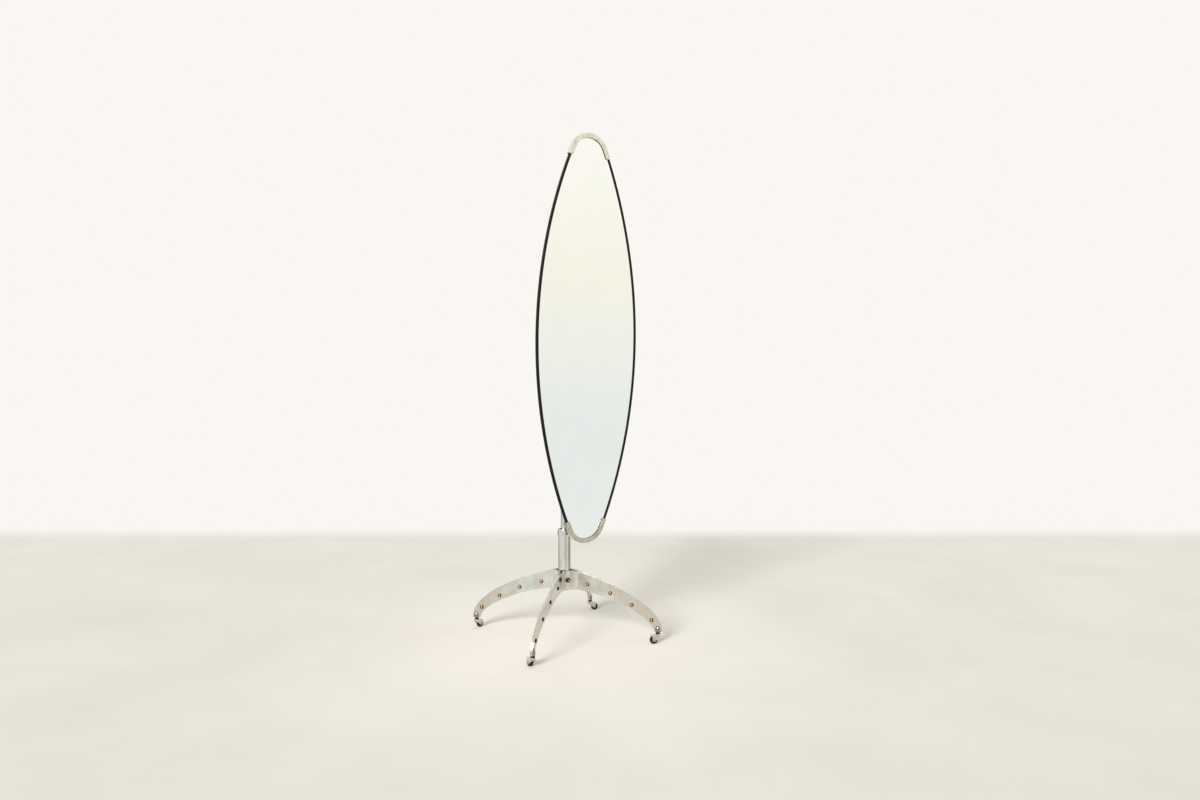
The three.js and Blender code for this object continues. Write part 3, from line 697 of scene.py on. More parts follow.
def leg_profile():
    """Side view of a leg: an arch that narrows down to its foot."""
    lower = bezier(
        (ARCH_START, HUB_BOTTOM),
        (ARCH_START + LOWER_EDGE["run"], HUB_BOTTOM + LOWER_EDGE["rise"]),
        (FOOT_INNER, FOOT_BOTTOM + LOWER_EDGE["foot"]),
        (FOOT_INNER, FOOT_BOTTOM),
        40,
    )
    upper = bezier(
        (FOOT_OUTER, FOOT_BOTTOM),
        (FOOT_OUTER, FOOT_BOTTOM + UPPER_EDGE["foot"]),
        (ARCH_START + UPPER_EDGE["run"], HUB_TOP + UPPER_EDGE["rise"]),
        (ARCH_START, HUB_TOP),
        40,
    )
    return [(0, HUB_BOTTOM), *lower, *upper, (0, HUB_TOP)]


def bent_strip():
    """Top view of one plate in the quarter between +X and +Y: in along one leg, round a
    quarter circle that comes nearest to the column at its middle, and out again."""
    middle = SHEET_MIDDLE + BEND_RADIUS
    front, back = SHEET_MIDDLE + PLATE / 2, SHEET_MIDDLE - PLATE / 2
    end = FOOT_OUTER + PAST
    return [
        (end, front), *arc(middle, middle, BEND_INSIDE, -90, -180, 48), (front, end),
        (back, end), *arc(middle, middle, BEND_INSIDE + PLATE, -180, -90, 48), (end, back),
    ]


def bullet(grow=0.0):
    """Profile of a caster socket's outside with its pointed end, grown to cut its seat."""
    radius, top = SOCKET_RADIUS + grow, SOCKET_TOP + grow
    steps = 14
    nose = []
    for i in range(steps + 1):
        rise = i / steps
        nose.append((radius * (1 - rise ** 2) ** 0.6, top - SOCKET_NOSE * (1 - rise)))
    return [(0, SOCKET_BOTTOM - grow), (radius, SOCKET_BOTTOM - grow), *nose]


def leg_plate():
    """One bent plate, with the seats of its two caster sockets."""
    quarter = Matrix.Rotation(math.pi / 2, 4, "Z")
    first = prism(leg_profile(), -PAST, PANEL_OUTER, "Y")
    second = moved(prism(leg_profile(), -PANEL_OUTER, PAST, "Y"), quarter)
    arms = combine("UNION", first, second)
    strip = combine("INTERSECT", prism(bent_strip(), 0, HUB_TOP + PAST), arms)
    reach = centre("caster_socket_front_left").xy.length
    seats = [moved(revolve(bullet(GAP), segments=40), at(reach, 0, 0)) for _ in range(2)]
    moved(seats[1], quarter)
    return combine("DIFFERENCE", strip, *seats)


def mark_rim(target, axis, radius):
    """Notes for the copper finish how far each point is from the axis of its head."""
    across = [place for place in range(3) if place != "XYZ".index(axis)]
    values = [
        math.hypot(*(vertex.co[place] for place in across)) / (radius * MM)
        for vertex in target.data.vertices
    ]
    target.data.attributes.new(RIM, "FLOAT", "POINT").data.foreach_set("value", values)
    return target


def leg_rivet():
    """A domed head on both faces of a leg, on a shank through the two plates."""
    seat = LEG_HALF + GAP
    half = [(RIVET_SHANK, seat), *dome(RIVET_HEAD, RIVET_RISE, seat)]
    return mark_rim(revolve([*mirrored(half), *half], "Y", 32), "Y", RIVET_HEAD)


def hub_bolt():
    """A radial bolt along +X, whose washer bears on both sides of the bend's middle."""
    hollow = BEND_INSIDE - math.sqrt(BEND_INSIDE ** 2 - HUB_WASHER ** 2)
    seat = PANEL_OUTER + hollow + GAP
    washer = seat + HUB_WASHER_THICKNESS
    profile = [
        (0, HUB_BOLT_END), (HUB_BOLT, HUB_BOLT_END), (HUB_BOLT, seat), (HUB_WASHER, seat),
        (HUB_WASHER, washer), *dome(HUB_BOLT_HEAD, HUB_BOLT_RISE, washer),
    ]
    return mark_rim(revolve(profile, "X", 40), "X", HUB_BOLT_HEAD)


def build_base():
    plate = leg_plate()
    for name in PLATES:
        node = f"leg_plate_{name}"
        place = at(0, 0, 0, heading(centre(node)) - math.pi / 4)
        dress(copy_of(plate), f"{name}_plate", "base", "plate", place, 0.5, stands_for=[node])
    bpy.data.objects.remove(plate)
    for name in PLATES:
        node = f"hub_bolt_{name}"
        place = at(0, 0, centre(node).z, heading(centre(node)))
        dress(hub_bolt(), f"{name}_hub_bolt", "base", "copper", place, stands_for=[node])
    for leg in LEGS:
        turn = heading(centre(f"caster_socket_{leg}"))
        for number in range(1, RIVETS_PER_LEG + 1):
            node = f"leg_rivet_{leg}_{number}"
            name, place = f"{leg}_rivet_{number}", at(*centre(node), turn)
            dress(leg_rivet(), name, "base", "copper", place, stands_for=[node])


# ---- column and mast


def heights(node):
    low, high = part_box(node)
    return low.z / MM, high.z / MM


def column_plug():
    """Closes the tube's foot with a flange that stands a little inside its wall."""
    low, high = heights("column_plug")
    inner = TUBE_RADIUS - TUBE_WALL - GAP
    step = heights("column_tube")[0] - GAP
    flange = half_size("column_plug").x
    profile = [(0, low), (flange, low), (flange, step), (inner, step), (inner, high), (0, high)]
    return revolve(profile, segments=96)


def column_bush():
    low, high = heights("column_bush")
    bore = MAST_RADIUS + RUNNING
    return revolve(tube(bore, TUBE_RADIUS - TUBE_WALL - GAP, low, high), segments=96)


def column_collar():
    """A sleeve over the tube's end, with a lip that covers the tube's wall."""
    low, high = heights("column_collar")
    bore = TUBE_RADIUS + GAP
    under_lip = heights("column_tube")[1] + GAP
    profile = [
        (bore, low), (COLLAR_RADIUS - COLLAR_CHAMFER, low), (COLLAR_RADIUS, low + COLLAR_CHAMFER),
        *arc(COLLAR_RADIUS - COLLAR_LIP, high - COLLAR_LIP, COLLAR_LIP, 0, 90, 5),
        (TUBE_RADIUS - TUBE_WALL, high), (TUBE_RADIUS - TUBE_WALL, under_lip), (bore, under_lip),
    ]
    return revolve(profile, segments=96)


def lock_screw():
    seat = COLLAR_RADIUS + GAP
    profile = [
        (0, MAST_RADIUS + RUNNING), (LOCK_SCREW_SHANK, MAST_RADIUS + RUNNING),
        (LOCK_SCREW_SHANK, seat), *dome(LOCK_SCREW_HEAD, LOCK_SCREW_RISE, seat),
    ]
    head = revolve(profile, "X", 32)
    slot = block(
        (seat + LOCK_SLOT_FLOOR, seat + 2 * LOCK_SCREW_RISE), (-LOCK_SLOT_HALF, LOCK_SLOT_HALF),
        (-LOCK_SCREW_HEAD - PAST, LOCK_SCREW_HEAD + PAST),
    )
    return mark_rim(combine("DIFFERENCE", head, slot), "X", LOCK_SCREW_HEAD)


def mast_rod():
    low, high = heights("mast_rod")
    inner = MAST_RADIUS - MAST_WALL
    profile = [
        (0, high - MAST_WALL), (inner, high - MAST_WALL), (inner, low), (MAST_RADIUS, low),
        *arc(MAST_RADIUS - MAST_EDGE, high - MAST_EDGE, MAST_EDGE, 0, 90, 5), (0, high),
    ]
    return revolve(profile)


def build_column():
    low, high = heights("column_tube")
    column = revolve(tube(TUBE_RADIUS - TUBE_WALL, TUBE_RADIUS, low, high), segments=96)
    dress(column, "tube", "base", "tube", stands_for=["column_tube"])
    for made, name in ((column_plug(), "plug"), (column_bush(), "bush")):
        dress(made, name, "base", "black_plastic", edge=0.4, stands_for=[f"column_{name}"])
    dress(column_collar(), "collar", "base", "chrome", stands_for=["column_collar"])
    spot = centre("lock_screw")
    place = at(0, 0, spot.z, heading(spot))
    dress(lock_screw(), "height_screw", "base", "copper", place, 0.15, ["lock_screw"])
    dress(mast_rod(), "mast", "mast", "tube", stands_for=["mast_rod"])


# ---- head and hinge
# drawn about the mast's axis, at the height of the hinge pin

EAR_INNER = TONGUE_HALF + 2 * GAP
EAR_OUTER = EAR_INNER + EAR


def fork_arm():
    """An arm that reaches forward and ends in a fork with rounded ears."""
    shoulder = PIVOT.y + KNUCKLE_RADIUS + FORK_BACK
    side = [
        (0, -ARM_RISE), (0, ARM_RISE), (PIVOT.y + ARM_TAPER, ARM_RISE),
        *arc(PIVOT.y, 0, KNUCKLE_RADIUS, 90, 270, 24),
        (PIVOT.y + ARM_TAPER, -ARM_RISE),
    ]
    top = [
        (ARM_HALF, 0), (-ARM_HALF, 0), (-ARM_HALF, shoulder + ARM_TAPER / 2),
        (-EAR_OUTER, shoulder), (-EAR_OUTER, PIVOT.y - KNUCKLE_RADIUS),
        (EAR_OUTER, PIVOT.y - KNUCKLE_RADIUS), (EAR_OUTER, shoulder),
        (ARM_HALF, shoulder + ARM_TAPER / 2),
    ]
    return combine(
        "INTERSECT", prism(side, -EAR_OUTER, EAR_OUTER, "X"), prism(top, -CLAMP_HALF, CLAMP_HALF)
    )


def head_clamp():
    """A split clamp round the mast, in one casting with the fork arm."""
    tall = CLAMP_HALF + PAST
    barrel = revolve(rod(CLAMP_RADIUS, -CLAMP_HALF, CLAMP_HALF), segments=72)
    lugs = block((-LUG_HALF, LUG_HALF), (0, LUG_REACH), (-CLAMP_HALF, CLAMP_HALF))
    casting = combine("UNION", barrel, lugs, fork_arm())
    slot_back = PIVOT.y + KNUCKLE_RADIUS + FORK_DEPTH
    cutters = [
        revolve(rod(MAST_RADIUS + RUNNING, -tall, tall)),
        block((-LUG_SLIT, LUG_SLIT), (0, LUG_REACH + PAST), (-tall, tall)),
        block((-EAR_INNER, EAR_INNER), (PIVOT.y - 2 * KNUCKLE_RADIUS, slot_back), (-tall, tall)),
    ]
    return combine("DIFFERENCE", casting, *cutters)


def clamp_bolt():
    """A hexagon bolt through the two lugs, with its nut."""
    seat = LUG_HALF + GAP
    shank = revolve(rod(LUG_BOLT, -seat - LUG_NUT, seat + PAST), "X", 32)
    head = prism(hexagon(LUG_NUT_RADIUS), seat, seat + LUG_NUT, "X")
    nut = prism(hexagon(LUG_NUT_RADIUS), -seat - LUG_NUT + PAST, -seat, "X")
    return moved(combine("UNION", shank, head, nut), at(0, LUG_BOLT_Y, 0))


def hinge_bolt():
    seat = -EAR_OUTER - GAP
    shank = revolve(rod(HINGE_BOLT, seat - 2, KNOB_BOLT_END), "X", 32)
    head = prism(hexagon(HINGE_HEAD), seat - HINGE_HEAD_HEIGHT, seat, "X")
    return moved(combine("UNION", shank, head), at(0, PIVOT.y, 0))


def tilt_knob():
    """A hand knob with five lobes on a short neck, bored blind for the bolt."""
    start = EAR_OUTER + GAP
    star = []
    for i in range(100):
        angle = 2 * math.pi * i / 100
        radius = KNOB_RADIUS + KNOB_WAVE * math.cos(KNOB_LOBES * angle)
        star.append((radius * math.cos(angle), radius * math.sin(angle)))
    grip = prism(star, start + KNOB_NECK, start + KNOB_NECK + KNOB_GRIP, "X")
    soften(grip, KNOB_EDGE, segments=4)
    neck = revolve(rod(KNOB_NECK_RADIUS, start, start + KNOB_NECK + PAST), "X", 48)
    bore = revolve(rod(HINGE_BOLT + RUNNING, start - PAST, KNOB_BOLT_END + GAP), "X", 32)
    whole = combine("UNION", grip, neck)
    return moved(combine("DIFFERENCE", whole, bore), at(0, PIVOT.y, 0))


def build_head():
    dress(head_clamp(), "clamp", "head", "cast", HEAD, 1.0, ["head_clamp"])
    dress(clamp_bolt(), "lug_bolt", "head", "steel", HEAD, stands_for=["clamp_bolt"])
    dress(hinge_bolt(), "hinge_pin", "head", "steel", HEAD, stands_for=["hinge_bolt"])
    dress(tilt_knob(), "knob_grip", "knob", "black_plastic", HEAD, 0, ["tilt_knob"])


# ---- mirror
# drawn about the hinge pin with the glass upright: x across, y back, z up

SIDE_CENTRE = SIDE_RADIUS - MIRROR_HALF_WIDTH
END_RADIUS = (
    (SIDE_RADIUS ** 2 - SIDE_CENTRE ** 2 - MIRROR_HALF_HEIGHT ** 2)
    / (2 * (SIDE_RADIUS - MIRROR_HALF_HEIGHT))
)
END_CENTRE = MIRROR_HALF_HEIGHT - END_RADIUS
TANGENT = math.degrees(math.atan2(END_CENTRE, SIDE_CENTRE))
CAP_SIDE = SIDE_RADIUS * (math.radians(TANGENT) - math.asin(CAP_END_HEIGHT / SIDE_RADIUS))
CAP_LENGTH = 2 * CAP_SIDE + END_RADIUS * math.radians(180 - 2 * TANGENT)

GLASS_BACK = GLASS_FRONT + GLASS
RUBBER_FRONT = GLASS_FRONT - GAP - RUBBER_LIP
RUBBER_BACK = GLASS_BACK + GAP + RUBBER_LIP
PANEL_FRONT = GLASS_BACK + GAP
PANEL_BACK = PANEL_FRONT + PANEL
CAP_FRONT = RUBBER_FRONT - GAP - CAP_WALL
CAP_BACK = PANEL_BACK + GAP + CAP_WALL
BRACKET_FRONT = PANEL_BACK + GAP


def lens(inset, side_steps=60, end_steps=28):
    """The mirror's outline as points (x, z), set in from the rubber's outer edge."""
    side, end = SIDE_RADIUS - inset, END_RADIUS - inset
    return [
        *arc(-SIDE_CENTRE, 0, side, -TANGENT, TANGENT, side_steps)[:-1],
        *arc(0, END_CENTRE, end, TANGENT, 180 - TANGENT, end_steps)[:-1],
        *arc(SIDE_CENTRE, 0, side, 180 - TANGENT, 180 + TANGENT, side_steps)[:-1],
        *arc(0, -END_CENTRE, end, 180 + TANGENT, 360 - TANGENT, end_steps)[:-1],
    ]


def lens_ring(inset, depth):
    return [(x, depth, z) for x, z in lens(inset)]


def rubber_edge():
    """A soft U-section with rounded corners, run round the glass."""
    corner = arc(RUBBER_ROUND, 0, RUBBER_ROUND, 180, 90, 4)
    front, back = RUBBER_FACE_FRONT, RUBBER_FACE_BACK
    section = [
        *((inset, RUBBER_BACK - RUBBER_ROUND + rise) for inset, rise in corner),
        (back - 0.8, RUBBER_BACK), (back, RUBBER_BACK - 1.2), (back, GLASS_BACK + GAP),
        (RUBBER_LIP, GLASS_BACK + GAP), (RUBBER_LIP, GLASS_FRONT - GAP),
        (front, GLASS_FRONT - GAP), (front, RUBBER_FRONT + 1.2), (front - 0.8, RUBBER_FRONT),
        *((inset, RUBBER_FRONT + RUBBER_ROUND - rise) for inset, rise in reversed(corner)),
    ]
    return skin([lens_ring(inset, depth) for inset, depth in section], loop=True)


def lens_slab(inset, front, back, edge):
    """A flat slab with the mirror's outline and rounded edges."""
    soft = edge * 0.3
    rings = [
        (inset + edge, front), (inset + soft, front + soft), (inset, front + edge),
        (inset, back - edge), (inset + soft, back - soft), (inset + edge, back),
    ]
    return skin([lens_ring(*ring) for ring in rings])


def on_outline(distance, inset):
    """The point (x, z) at a distance along the outline from the top cap's right end."""
    if distance > CAP_LENGTH / 2:
        x, z = on_outline(CAP_LENGTH - distance, inset)
        return -x, z
    tangent = math.radians(TANGENT)
    if distance < CAP_SIDE:
        angle = tangent - (CAP_SIDE - distance) / SIDE_RADIUS
        radius = SIDE_RADIUS - inset
        return radius * math.cos(angle) - SIDE_CENTRE, radius * math.sin(angle)
    angle = tangent + (distance - CAP_SIDE) / END_RADIUS
    radius = END_RADIUS - inset
    return radius * math.cos(angle), END_CENTRE + radius * math.sin(angle)


def cap_section(reach):
    """A channel as points (inset, depth), open to the inside, with lips of that reach."""
    outer = -CAP_WALL - GAP
    front = arc(outer + CAP_BEND, CAP_FRONT + CAP_BEND, CAP_BEND, 270, 180, 5)
    back = arc(outer + CAP_BEND, CAP_BACK - CAP_BEND, CAP_BEND, 180, 90, 5)
    return [
        (reach, CAP_FRONT), *front, *back, (reach, CAP_BACK), (reach, CAP_BACK - CAP_WALL),
        (-GAP, CAP_BACK - CAP_WALL), (-GAP, CAP_FRONT + CAP_WALL), (reach, CAP_FRONT + CAP_WALL),
    ]


def end_cap():
    """A channel bent round the mirror's top, with its lips rounded off at both ends."""
    corner = [CAP_CORNER * (1 - math.cos(math.radians(10 * i))) for i in range(10)]
    steps = 56
    span = CAP_LENGTH - 2 * CAP_CORNER
    middle = [CAP_CORNER + span * i / steps for i in range(1, steps)]
    rings = []
    for distance in [*corner, *middle, *[CAP_LENGTH - d for d in reversed(corner)]]:
        near_end = max(0.0, CAP_CORNER - min(distance, CAP_LENGTH - distance))
        reach = CAP_LIP - CAP_WALL - GAP - CAP_CORNER
        reach += math.sqrt(CAP_CORNER ** 2 - near_end ** 2)
        ring = []
        for inset, depth in cap_section(reach):
            x, z = on_outline(distance, inset)
            ring.append((x, depth, z))
        rings.append(ring)
    return skin(rings)


def slotted_screw(radius, rise, shank, depth):
    """A domed head at the origin, facing +Y, with a slot and a shank behind it."""
    profile = [(0, -depth), (shank, -depth), (shank, 0), *dome(radius, rise, 0)]
    half = 0.14 * radius
    slot = block((-half, half), (rise * 0.4, rise * 2), (-radius, radius))
    return combine("DIFFERENCE", revolve(profile, "Y", 32), slot)


def mirror_bracket():
    """A plate screwed to the back, with a tongue that reaches the hinge pin."""
    width = BRACKET_HALF_WIDTH - BRACKET_CORNER
    height = BRACKET_HALF_HEIGHT - BRACKET_CORNER
    outline = []
    for turn, x, z in ((0, 1, 1), (90, -1, 1), (180, -1, -1), (270, 1, -1)):
        outline += arc(x * width, z * height, BRACKET_CORNER, turn, turn + 90, 10)
    root = BRACKET_FRONT + BRACKET_THICKNESS
    plate = prism(outline, BRACKET_FRONT, root, "Y")
    side = [
        (root - PAST, -2 * KNUCKLE_RADIUS), (root + TONGUE_FOOT, -2 * KNUCKLE_RADIUS),
        *arc(0, 0, TONGUE_RADIUS, -100, 100, 28),
        (root + TONGUE_FOOT, 2 * KNUCKLE_RADIUS), (root - PAST, 2 * KNUCKLE_RADIUS),
    ]
    tongue = prism(side, -TONGUE_HALF, TONGUE_HALF, "X")
    through = TONGUE_HALF + PAST
    bore = revolve(rod(HINGE_BOLT + RUNNING, -through, through), "X", 32)
    return combine("DIFFERENCE", combine("UNION", plate, tongue), bore)


def build_mirror():
    glass = lens_slab(RUBBER_LIP + GAP, GLASS_FRONT, GLASS_BACK, GLASS_EDGE)
    dress(glass, "glass", "mirror", "mirror", MIRROR, 0, ["mirror_glass"])
    dress(rubber_edge(), "rubber", "mirror", "rubber", MIRROR, 0, ["rubber_edge"])
    board = lens_slab(PANEL_INSET, PANEL_FRONT, PANEL_BACK, PANEL_EDGE)
    dress(board, "board", "mirror", "board", MIRROR, 0, ["back_panel"])
    turned_over = MIRROR @ Matrix.Rotation(math.pi, 4, "Y")
    for end, place in (("top", MIRROR), ("bottom", turned_over)):
        dress(end_cap(), f"{end}_channel", "mirror", "cap", place, 0.35, [f"{end}_cap"])
        for number, angle in enumerate(CAP_SCREW_ANGLES, 1):
            radius, turn = END_RADIUS - CAP_SCREW_INSET, math.radians(angle)
            spot = at(radius * math.cos(turn), CAP_BACK, END_CENTRE + radius * math.sin(turn))
            name = f"{end}_cap_screw_{number}"
            dress(slotted_screw(*CAP_SCREW), name, "mirror", "steel", place @ spot, 0.1)
    dress(mirror_bracket(), "bracket", "mirror", "cast", MIRROR, 0.8, ["mirror_bracket"])
    seat = BRACKET_FRONT + BRACKET_THICKNESS
    for number, (x, z) in enumerate(BRACKET_SCREW_PLACES, 1):
        name, place = f"bracket_screw_{number}", MIRROR @ at(x, seat, z)
        dress(slotted_screw(*BRACKET_SCREW), name, "mirror", "steel", place, 0.1)


# ---- casters
# drawn with the stem on the axis and the wheel trailing towards +X

TRAIL = (centre("wheel_tread_front_left") - centre("caster_socket_front_left")).xy.length


def caster_socket():
    bore = rod(STEM_RADIUS + RUNNING, SOCKET_BOTTOM - PAST, STEM_TOP + PAST)
    return combine("DIFFERENCE", revolve(bullet()), revolve(bore, segments=40))


def fork_side():
    """Side view: a crown over the stem, a hood over the wheel, and cheeks that narrow
    down to the axle."""
    return [
        (HOOD_START, FORK_TOP), (-FORK_NOSE, FORK_TOP), (-FORK_NOSE, FORK_TOP - FORK_NOSE_HEIGHT),
        *arc(TRAIL, WHEEL_RADIUS, FORK_BOSS, 225, 375, 20),
        (HOOD_END, FORK_TOP - HOOD_DROP - HOOD_HEIGHT), (HOOD_END, FORK_TOP - HOOD_DROP),
    ]


def caster_fork():
    """Pressed from one sheet, hollow for the wheel, with the swivel's stem on top."""
    corner = math.degrees(math.asin(FORK_HALF / FORK_NOSE))
    behind = HOOD_END + PAST
    plan = [
        (behind, -FORK_HALF), (behind, FORK_HALF),
        *arc(0, 0, FORK_NOSE, 180 - corner, 180 + corner, 20),
    ]
    whole = prism(fork_side(), -FORK_HALF, FORK_HALF, "Y")
    whole = combine("INTERSECT", whole, prism(plan, 0, FORK_TOP + PAST))
    front, roof = 2 * FORK_WALL - FORK_NOSE, FORK_TOP - FORK_WALL
    slope = HOOD_DROP / (HOOD_END - HOOD_START)
    hollow = [
        (front, -PAST), (front, roof), (HOOD_START, roof),
        (behind, roof - slope * (behind - HOOD_START)), (behind, -PAST),
    ]
    inside = FORK_HALF - FORK_WALL
    shell = combine("DIFFERENCE", whole, prism(hollow, -inside, inside, "Y"))
    stem = revolve(rod(STEM_RADIUS, FORK_TOP - PAST, STEM_TOP), segments=32)
    pin = revolve(rod(AXLE + GAP, -FORK_HALF - PAST, FORK_HALF + PAST), "Y", 24)
    pin = moved(pin, at(TRAIL, 0, WHEEL_RADIUS))
    return combine("DIFFERENCE", combine("UNION", shell, stem), pin)


def swivel_race():
    """The pressed ring that covers the balls between fork and socket."""
    low, high = FORK_TOP + 0.1, SOCKET_BOTTOM - GAP
    inner = STEM_RADIUS + 0.1
    profile = [
        (inner, low), (RACE_RADIUS, low), (RACE_RADIUS, low + 2), (RACE_RADIUS - 1, low + 3),
        (RACE_RADIUS - 1, high - 2), (RACE_RADIUS - 0.2, high - 1.2), (RACE_RADIUS - 0.2, high),
        (inner, high),
    ]
    return revolve(profile, segments=48)


def caster_axle():
    seat = FORK_HALF + GAP
    half = [(AXLE, seat), *dome(AXLE_HEAD, AXLE_RISE, seat, 5)]
    return revolve([*mirrored(half), *half], "Y", 32)


def wheel_tread():
    """A tyre with rounded shoulders and a shallow step inside its walls."""
    half = TREAD_HALF - 0.5
    inner = WHEEL_HUB + GAP
    shoulder = arc(WHEEL_RADIUS - 2, half - 2, 2, 90, 0, 6)
    step = [(inner, half - 0.6), (inner + 1.4, half - 0.6), (inner + 2, half)]
    near = [*step, *shoulder]
    return revolve([*near, *mirrored(near)], "Y", 80)


def wheel_hub():
    """A dished centre with a raised boss round the axle."""
    bore = AXLE + RUNNING
    side = [
        (bore, TREAD_HALF), (bore + 1.8, TREAD_HALF), (bore + 2.3, TREAD_HALF - 1.6),
        (WHEEL_HUB - 1.6, TREAD_HALF - 2.2), (WHEEL_HUB - 0.9, TREAD_HALF - 1),
        (WHEEL_HUB, TREAD_HALF - 1),
    ]
    return revolve([*side, *mirrored(side)], "Y", 48)


def build_casters():
    for leg in LEGS:
        stem, wheel = centre(f"caster_socket_{leg}"), centre(f"wheel_tread_{leg}")
        turn = heading(wheel - stem)
        fixed, swivel = at(stem.x, stem.y, 0), at(stem.x, stem.y, 0, turn)
        rolling = at(*wheel, turn)
        above, below = f"swivel_{leg}", f"wheel_{leg}"
        for made, name, body, slot, place, edge, node, finish in (
            (caster_socket(), "socket", "base", "chrome", fixed, 0.25, "caster_socket", "socket"),
            (caster_fork(), "fork", above, "chrome", swivel, 0.7, "caster_fork", "fork"),
            (swivel_race(), "race", above, "steel", swivel, 0.15, None, "race"),
            (caster_axle(), "axle", above, "steel", rolling, 0, "caster_axle", None),
            (wheel_tread(), "tyre", below, "tread", rolling, 0, "wheel_tread", None),
            (wheel_hub(), "hub", below, "hub", rolling, 0.2, "wheel_hub", None),
        ):
            stands_for = [f"{node}_{leg}"] if node else []
            dress(made, f"{leg}_{name}", body, slot, place, edge, stands_for, finish)


# ---- scene

CAMERA_PLACE = (-1.4837, -2.8388, 1.0132)
VIEW_AZIMUTH = math.radians(59.86)
VIEW_PITCH = math.radians(-1.2)
LENS, SENSOR = 24, 36


def aimed(name, data, direction):
    """A camera or lamp that looks in a direction."""
    made = bpy.data.objects.new(name, data)
    made.rotation_mode = "QUATERNION"
    made.rotation_quaternion = Vector(direction).to_track_quat("-Z", "Y")
    bpy.context.scene.collection.objects.link(made)
    return made


def build_camera():
    """The photo's view: from chest height, well to the left of who faces the mirror."""
    data = bpy.data.cameras.new("camera")
    data.lens = LENS
    data.sensor_width = SENSOR
    level = math.cos(VIEW_PITCH)
    x, y = math.cos(VIEW_AZIMUTH) * level, math.sin(VIEW_AZIMUTH) * level
    camera = aimed("camera", data, (x, y, math.sin(VIEW_PITCH)))
    camera.location = CAMERA_PLACE
    bpy.context.scene.camera = camera


WALL = tone(250, 247, 242)
CREAM = tone(255, 252, 243)
PEACH = tone(251, 246, 233)
PALE_GREEN = tone(242, 244, 236)
PALE_GREY = tone(236, 238, 235)
DARK_SIDE = (0.27, 0.32, 0.36, 1.0)  # what metal reflects from behind the mirror,
BROWN_SIDE = (0.42, 0.39, 0.34, 1.0)  # from the right
SHADED = (0.74, 0.70, 0.61, 1.0)  # and from straight in front of it
PLAIN = (1.0, 1.0, 1.0, 1.0)
ROOM_LIGHT = 0.60  # strength of the world's light on the object
ROOM_COLOUR = (1.0, 0.99, 0.97, 1.0)
KEY_LIGHT = 3.15  # watts on a square metre
KEY_COLOUR = (1.0, 0.985, 0.96)
KEY_WIDTH = math.radians(24)
KEY_DIRECTION = (3.6, 2.3, -2.1)

SKY = (  # by the height of the direction, -1 to 1
    (-0.085, PALE_GREY), (0.0, PALE_GREEN), (0.095, PEACH), (0.21, CREAM),
)
ROUND = (  # by the direction's azimuth in degrees
    (-180, PLAIN), (-128, PLAIN), (-100, SHADED), (-80, SHADED), (-68, PLAIN), (-52, PLAIN),
    (-40, BROWN_SIDE), (-14, BROWN_SIDE), (30, PLAIN), (78, PLAIN), (90, DARK_SIDE),
    (112, DARK_SIDE), (142, PLAIN),
)


def build_world():
    """An even white room. Metal and glass reflect it cream above and pale grey below the
    horizon, with three darker sides."""
    world = bpy.data.worlds.new("studio")
    bpy.context.scene.world = world
    world.use_nodes = True
    world.node_tree.nodes.clear()
    room = Shading(world.node_tree)
    place = room.node("ShaderNodeTexCoord").outputs["Generated"]
    x, y, z = room.node("ShaderNodeSeparateXYZ", Vector=place).outputs
    sky = room.ramp(z, -0.2, 0.3, SKY)
    sides = [(math.radians(azimuth), colour) for azimuth, colour in ROUND]
    tint = room.ramp(room.joined("ARCTAN2", y, x), -math.pi, math.pi, sides)
    reflected = room.mixed(room.ranged(z, 1, 0, 0.02, 0.2), sky, tint, "MULTIPLY")
    paths = room.node("ShaderNodeLightPath").outputs
    camera = paths["Is Camera Ray"]
    direct = room.joined("MAXIMUM", camera, paths["Is Glossy Ray"])
    either = room.joined("MAXIMUM", direct, paths["Is Transmission Ray"])
    seen = room.node("ShaderNodeBackground", Color=room.mixed(camera, reflected, WALL))
    lit = room.node("ShaderNodeBackground", Color=ROOM_COLOUR, Strength=ROOM_LIGHT)
    shown = room.blended(either, lit.outputs["Background"], seen.outputs["Background"])
    room.node("ShaderNodeOutputWorld", Surface=shown)


FLOOR_HALF = 9000
# painted pool of light: the floor's tone is lighter near the object
FLOOR_TONES = (0.4, 1.2)  # metres from the mast's axis in which it darkens
FLOOR_END = (2.0, 2.35)  # in which it fades out, away from the camera
FLOOR_RIM = (4.5, 6.5)  # on every side
METAL_RIM = (0.6, 1.0)  # and on every side in what metal reflects


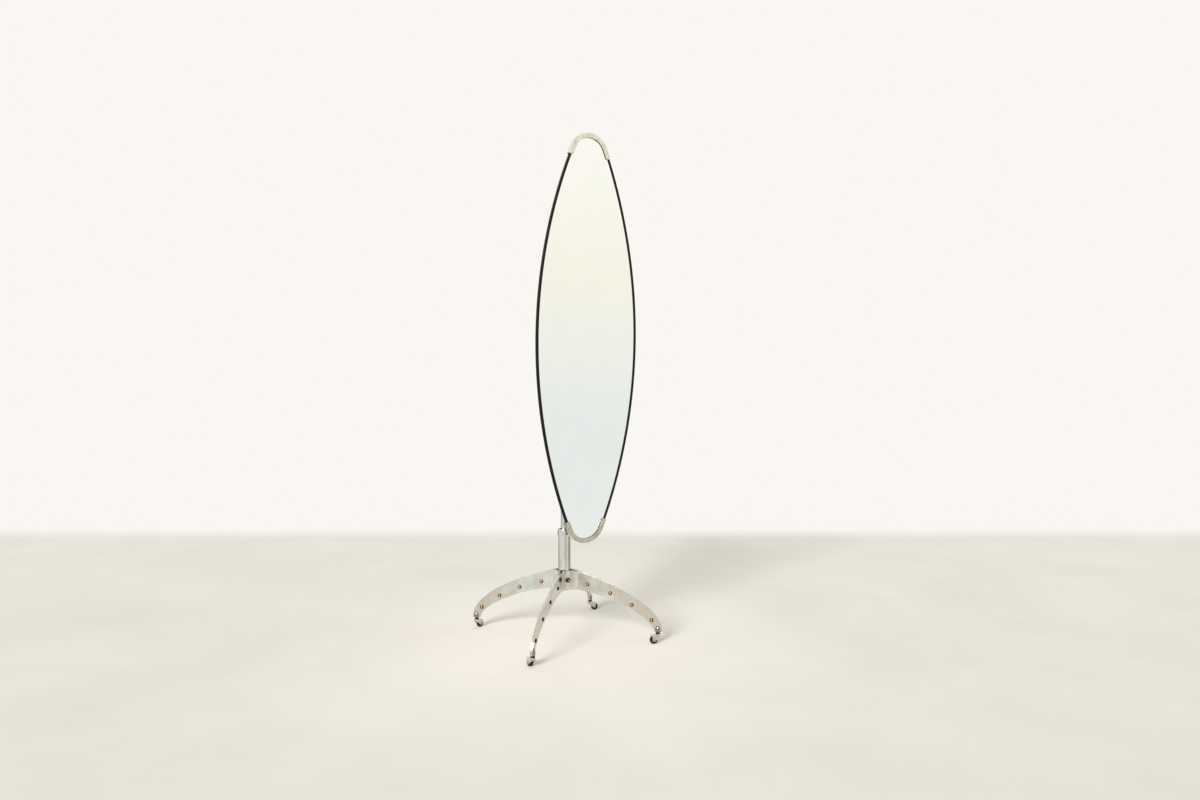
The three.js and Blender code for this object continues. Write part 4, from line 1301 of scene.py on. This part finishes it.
def build_floor():
    """A pale floor that ends softly at the foot of the white background. It is lighter near the
    object, a painted pool of light.
    """
    finish = Finish("pale_floor", Specular_IOR_Level=0.0)
    cloud = finish.noise(700, detail=6, roughness=0.6)
    share = finish.ranged(cloud, 0, 1)
    # painted pool of light: lighter tones near the object, darker from 0.4 to 1.2 m out
    near = finish.mixed(share, tone(244, 240, 232), tone(236, 232, 223))
    distant = finish.mixed(share, tone(232, 229, 221), tone(225, 221, 212))
    reach = finish.distance()
    colour = finish.shaded(reach, near, distant, *FLOOR_TONES)
    material = finish.surface(colour, finish.ranged(cloud, 0.55, 0.7))
    depth = finish.reach(finish.place, (math.cos(VIEW_AZIMUTH), math.sin(VIEW_AZIMUTH), 0))
    far = finish.ranged(depth, 0, 1, *FLOOR_END)
    edge = finish.ranged(reach, 0, 1, *FLOOR_RIM)
    glossy = finish.node("ShaderNodeLightPath").outputs["Is Glossy Ray"]
    away = finish.joined("MULTIPLY", finish.ranged(reach, 0, 1, *METAL_RIM), glossy)
    outside = finish.joined("MAXIMUM", finish.joined("MAXIMUM", far, edge), away)
    gone = finish.node("ShaderNodeBsdfTransparent").outputs["BSDF"]
    surface = finish.tree.nodes["Material Output"].inputs["Surface"]
    finish.feed(surface, finish.blended(outside, finish.shader.outputs["BSDF"], gone))
    corners = [(x * FLOOR_HALF, y * FLOOR_HALF, 0) for x, y in ((-1, -1), (1, -1), (1, 1), (-1, 1))]
    floor = solid(corners, [(0, 1, 2, 3)])
    floor.name = "floor"
    floor.data.materials.append(material)


def build_lights():
    """The even light of a large window to the left of the camera. The glass is left out of
    it, or it would show the lamp as a bright disc."""
    data = bpy.data.lights.new("window", "SUN")
    data.angle = KEY_WIDTH
    data.energy = KEY_LIGHT
    data.color = KEY_COLOUR
    window = aimed("window", data, KEY_DIRECTION)
    unlit = bpy.data.collections.new("unlit")
    unlit.objects.link(bpy.data.objects["glass"])
    window.light_linking.receiver_collection = unlit
    unlit.collection_objects[0].light_linking.link_state = "EXCLUDE"


build_base()
build_column()
build_head()
build_mirror()
build_casters()
build_floor()
build_world()
build_lights()
build_camera()
bpy.context.scene.view_settings.view_transform = "Standard"
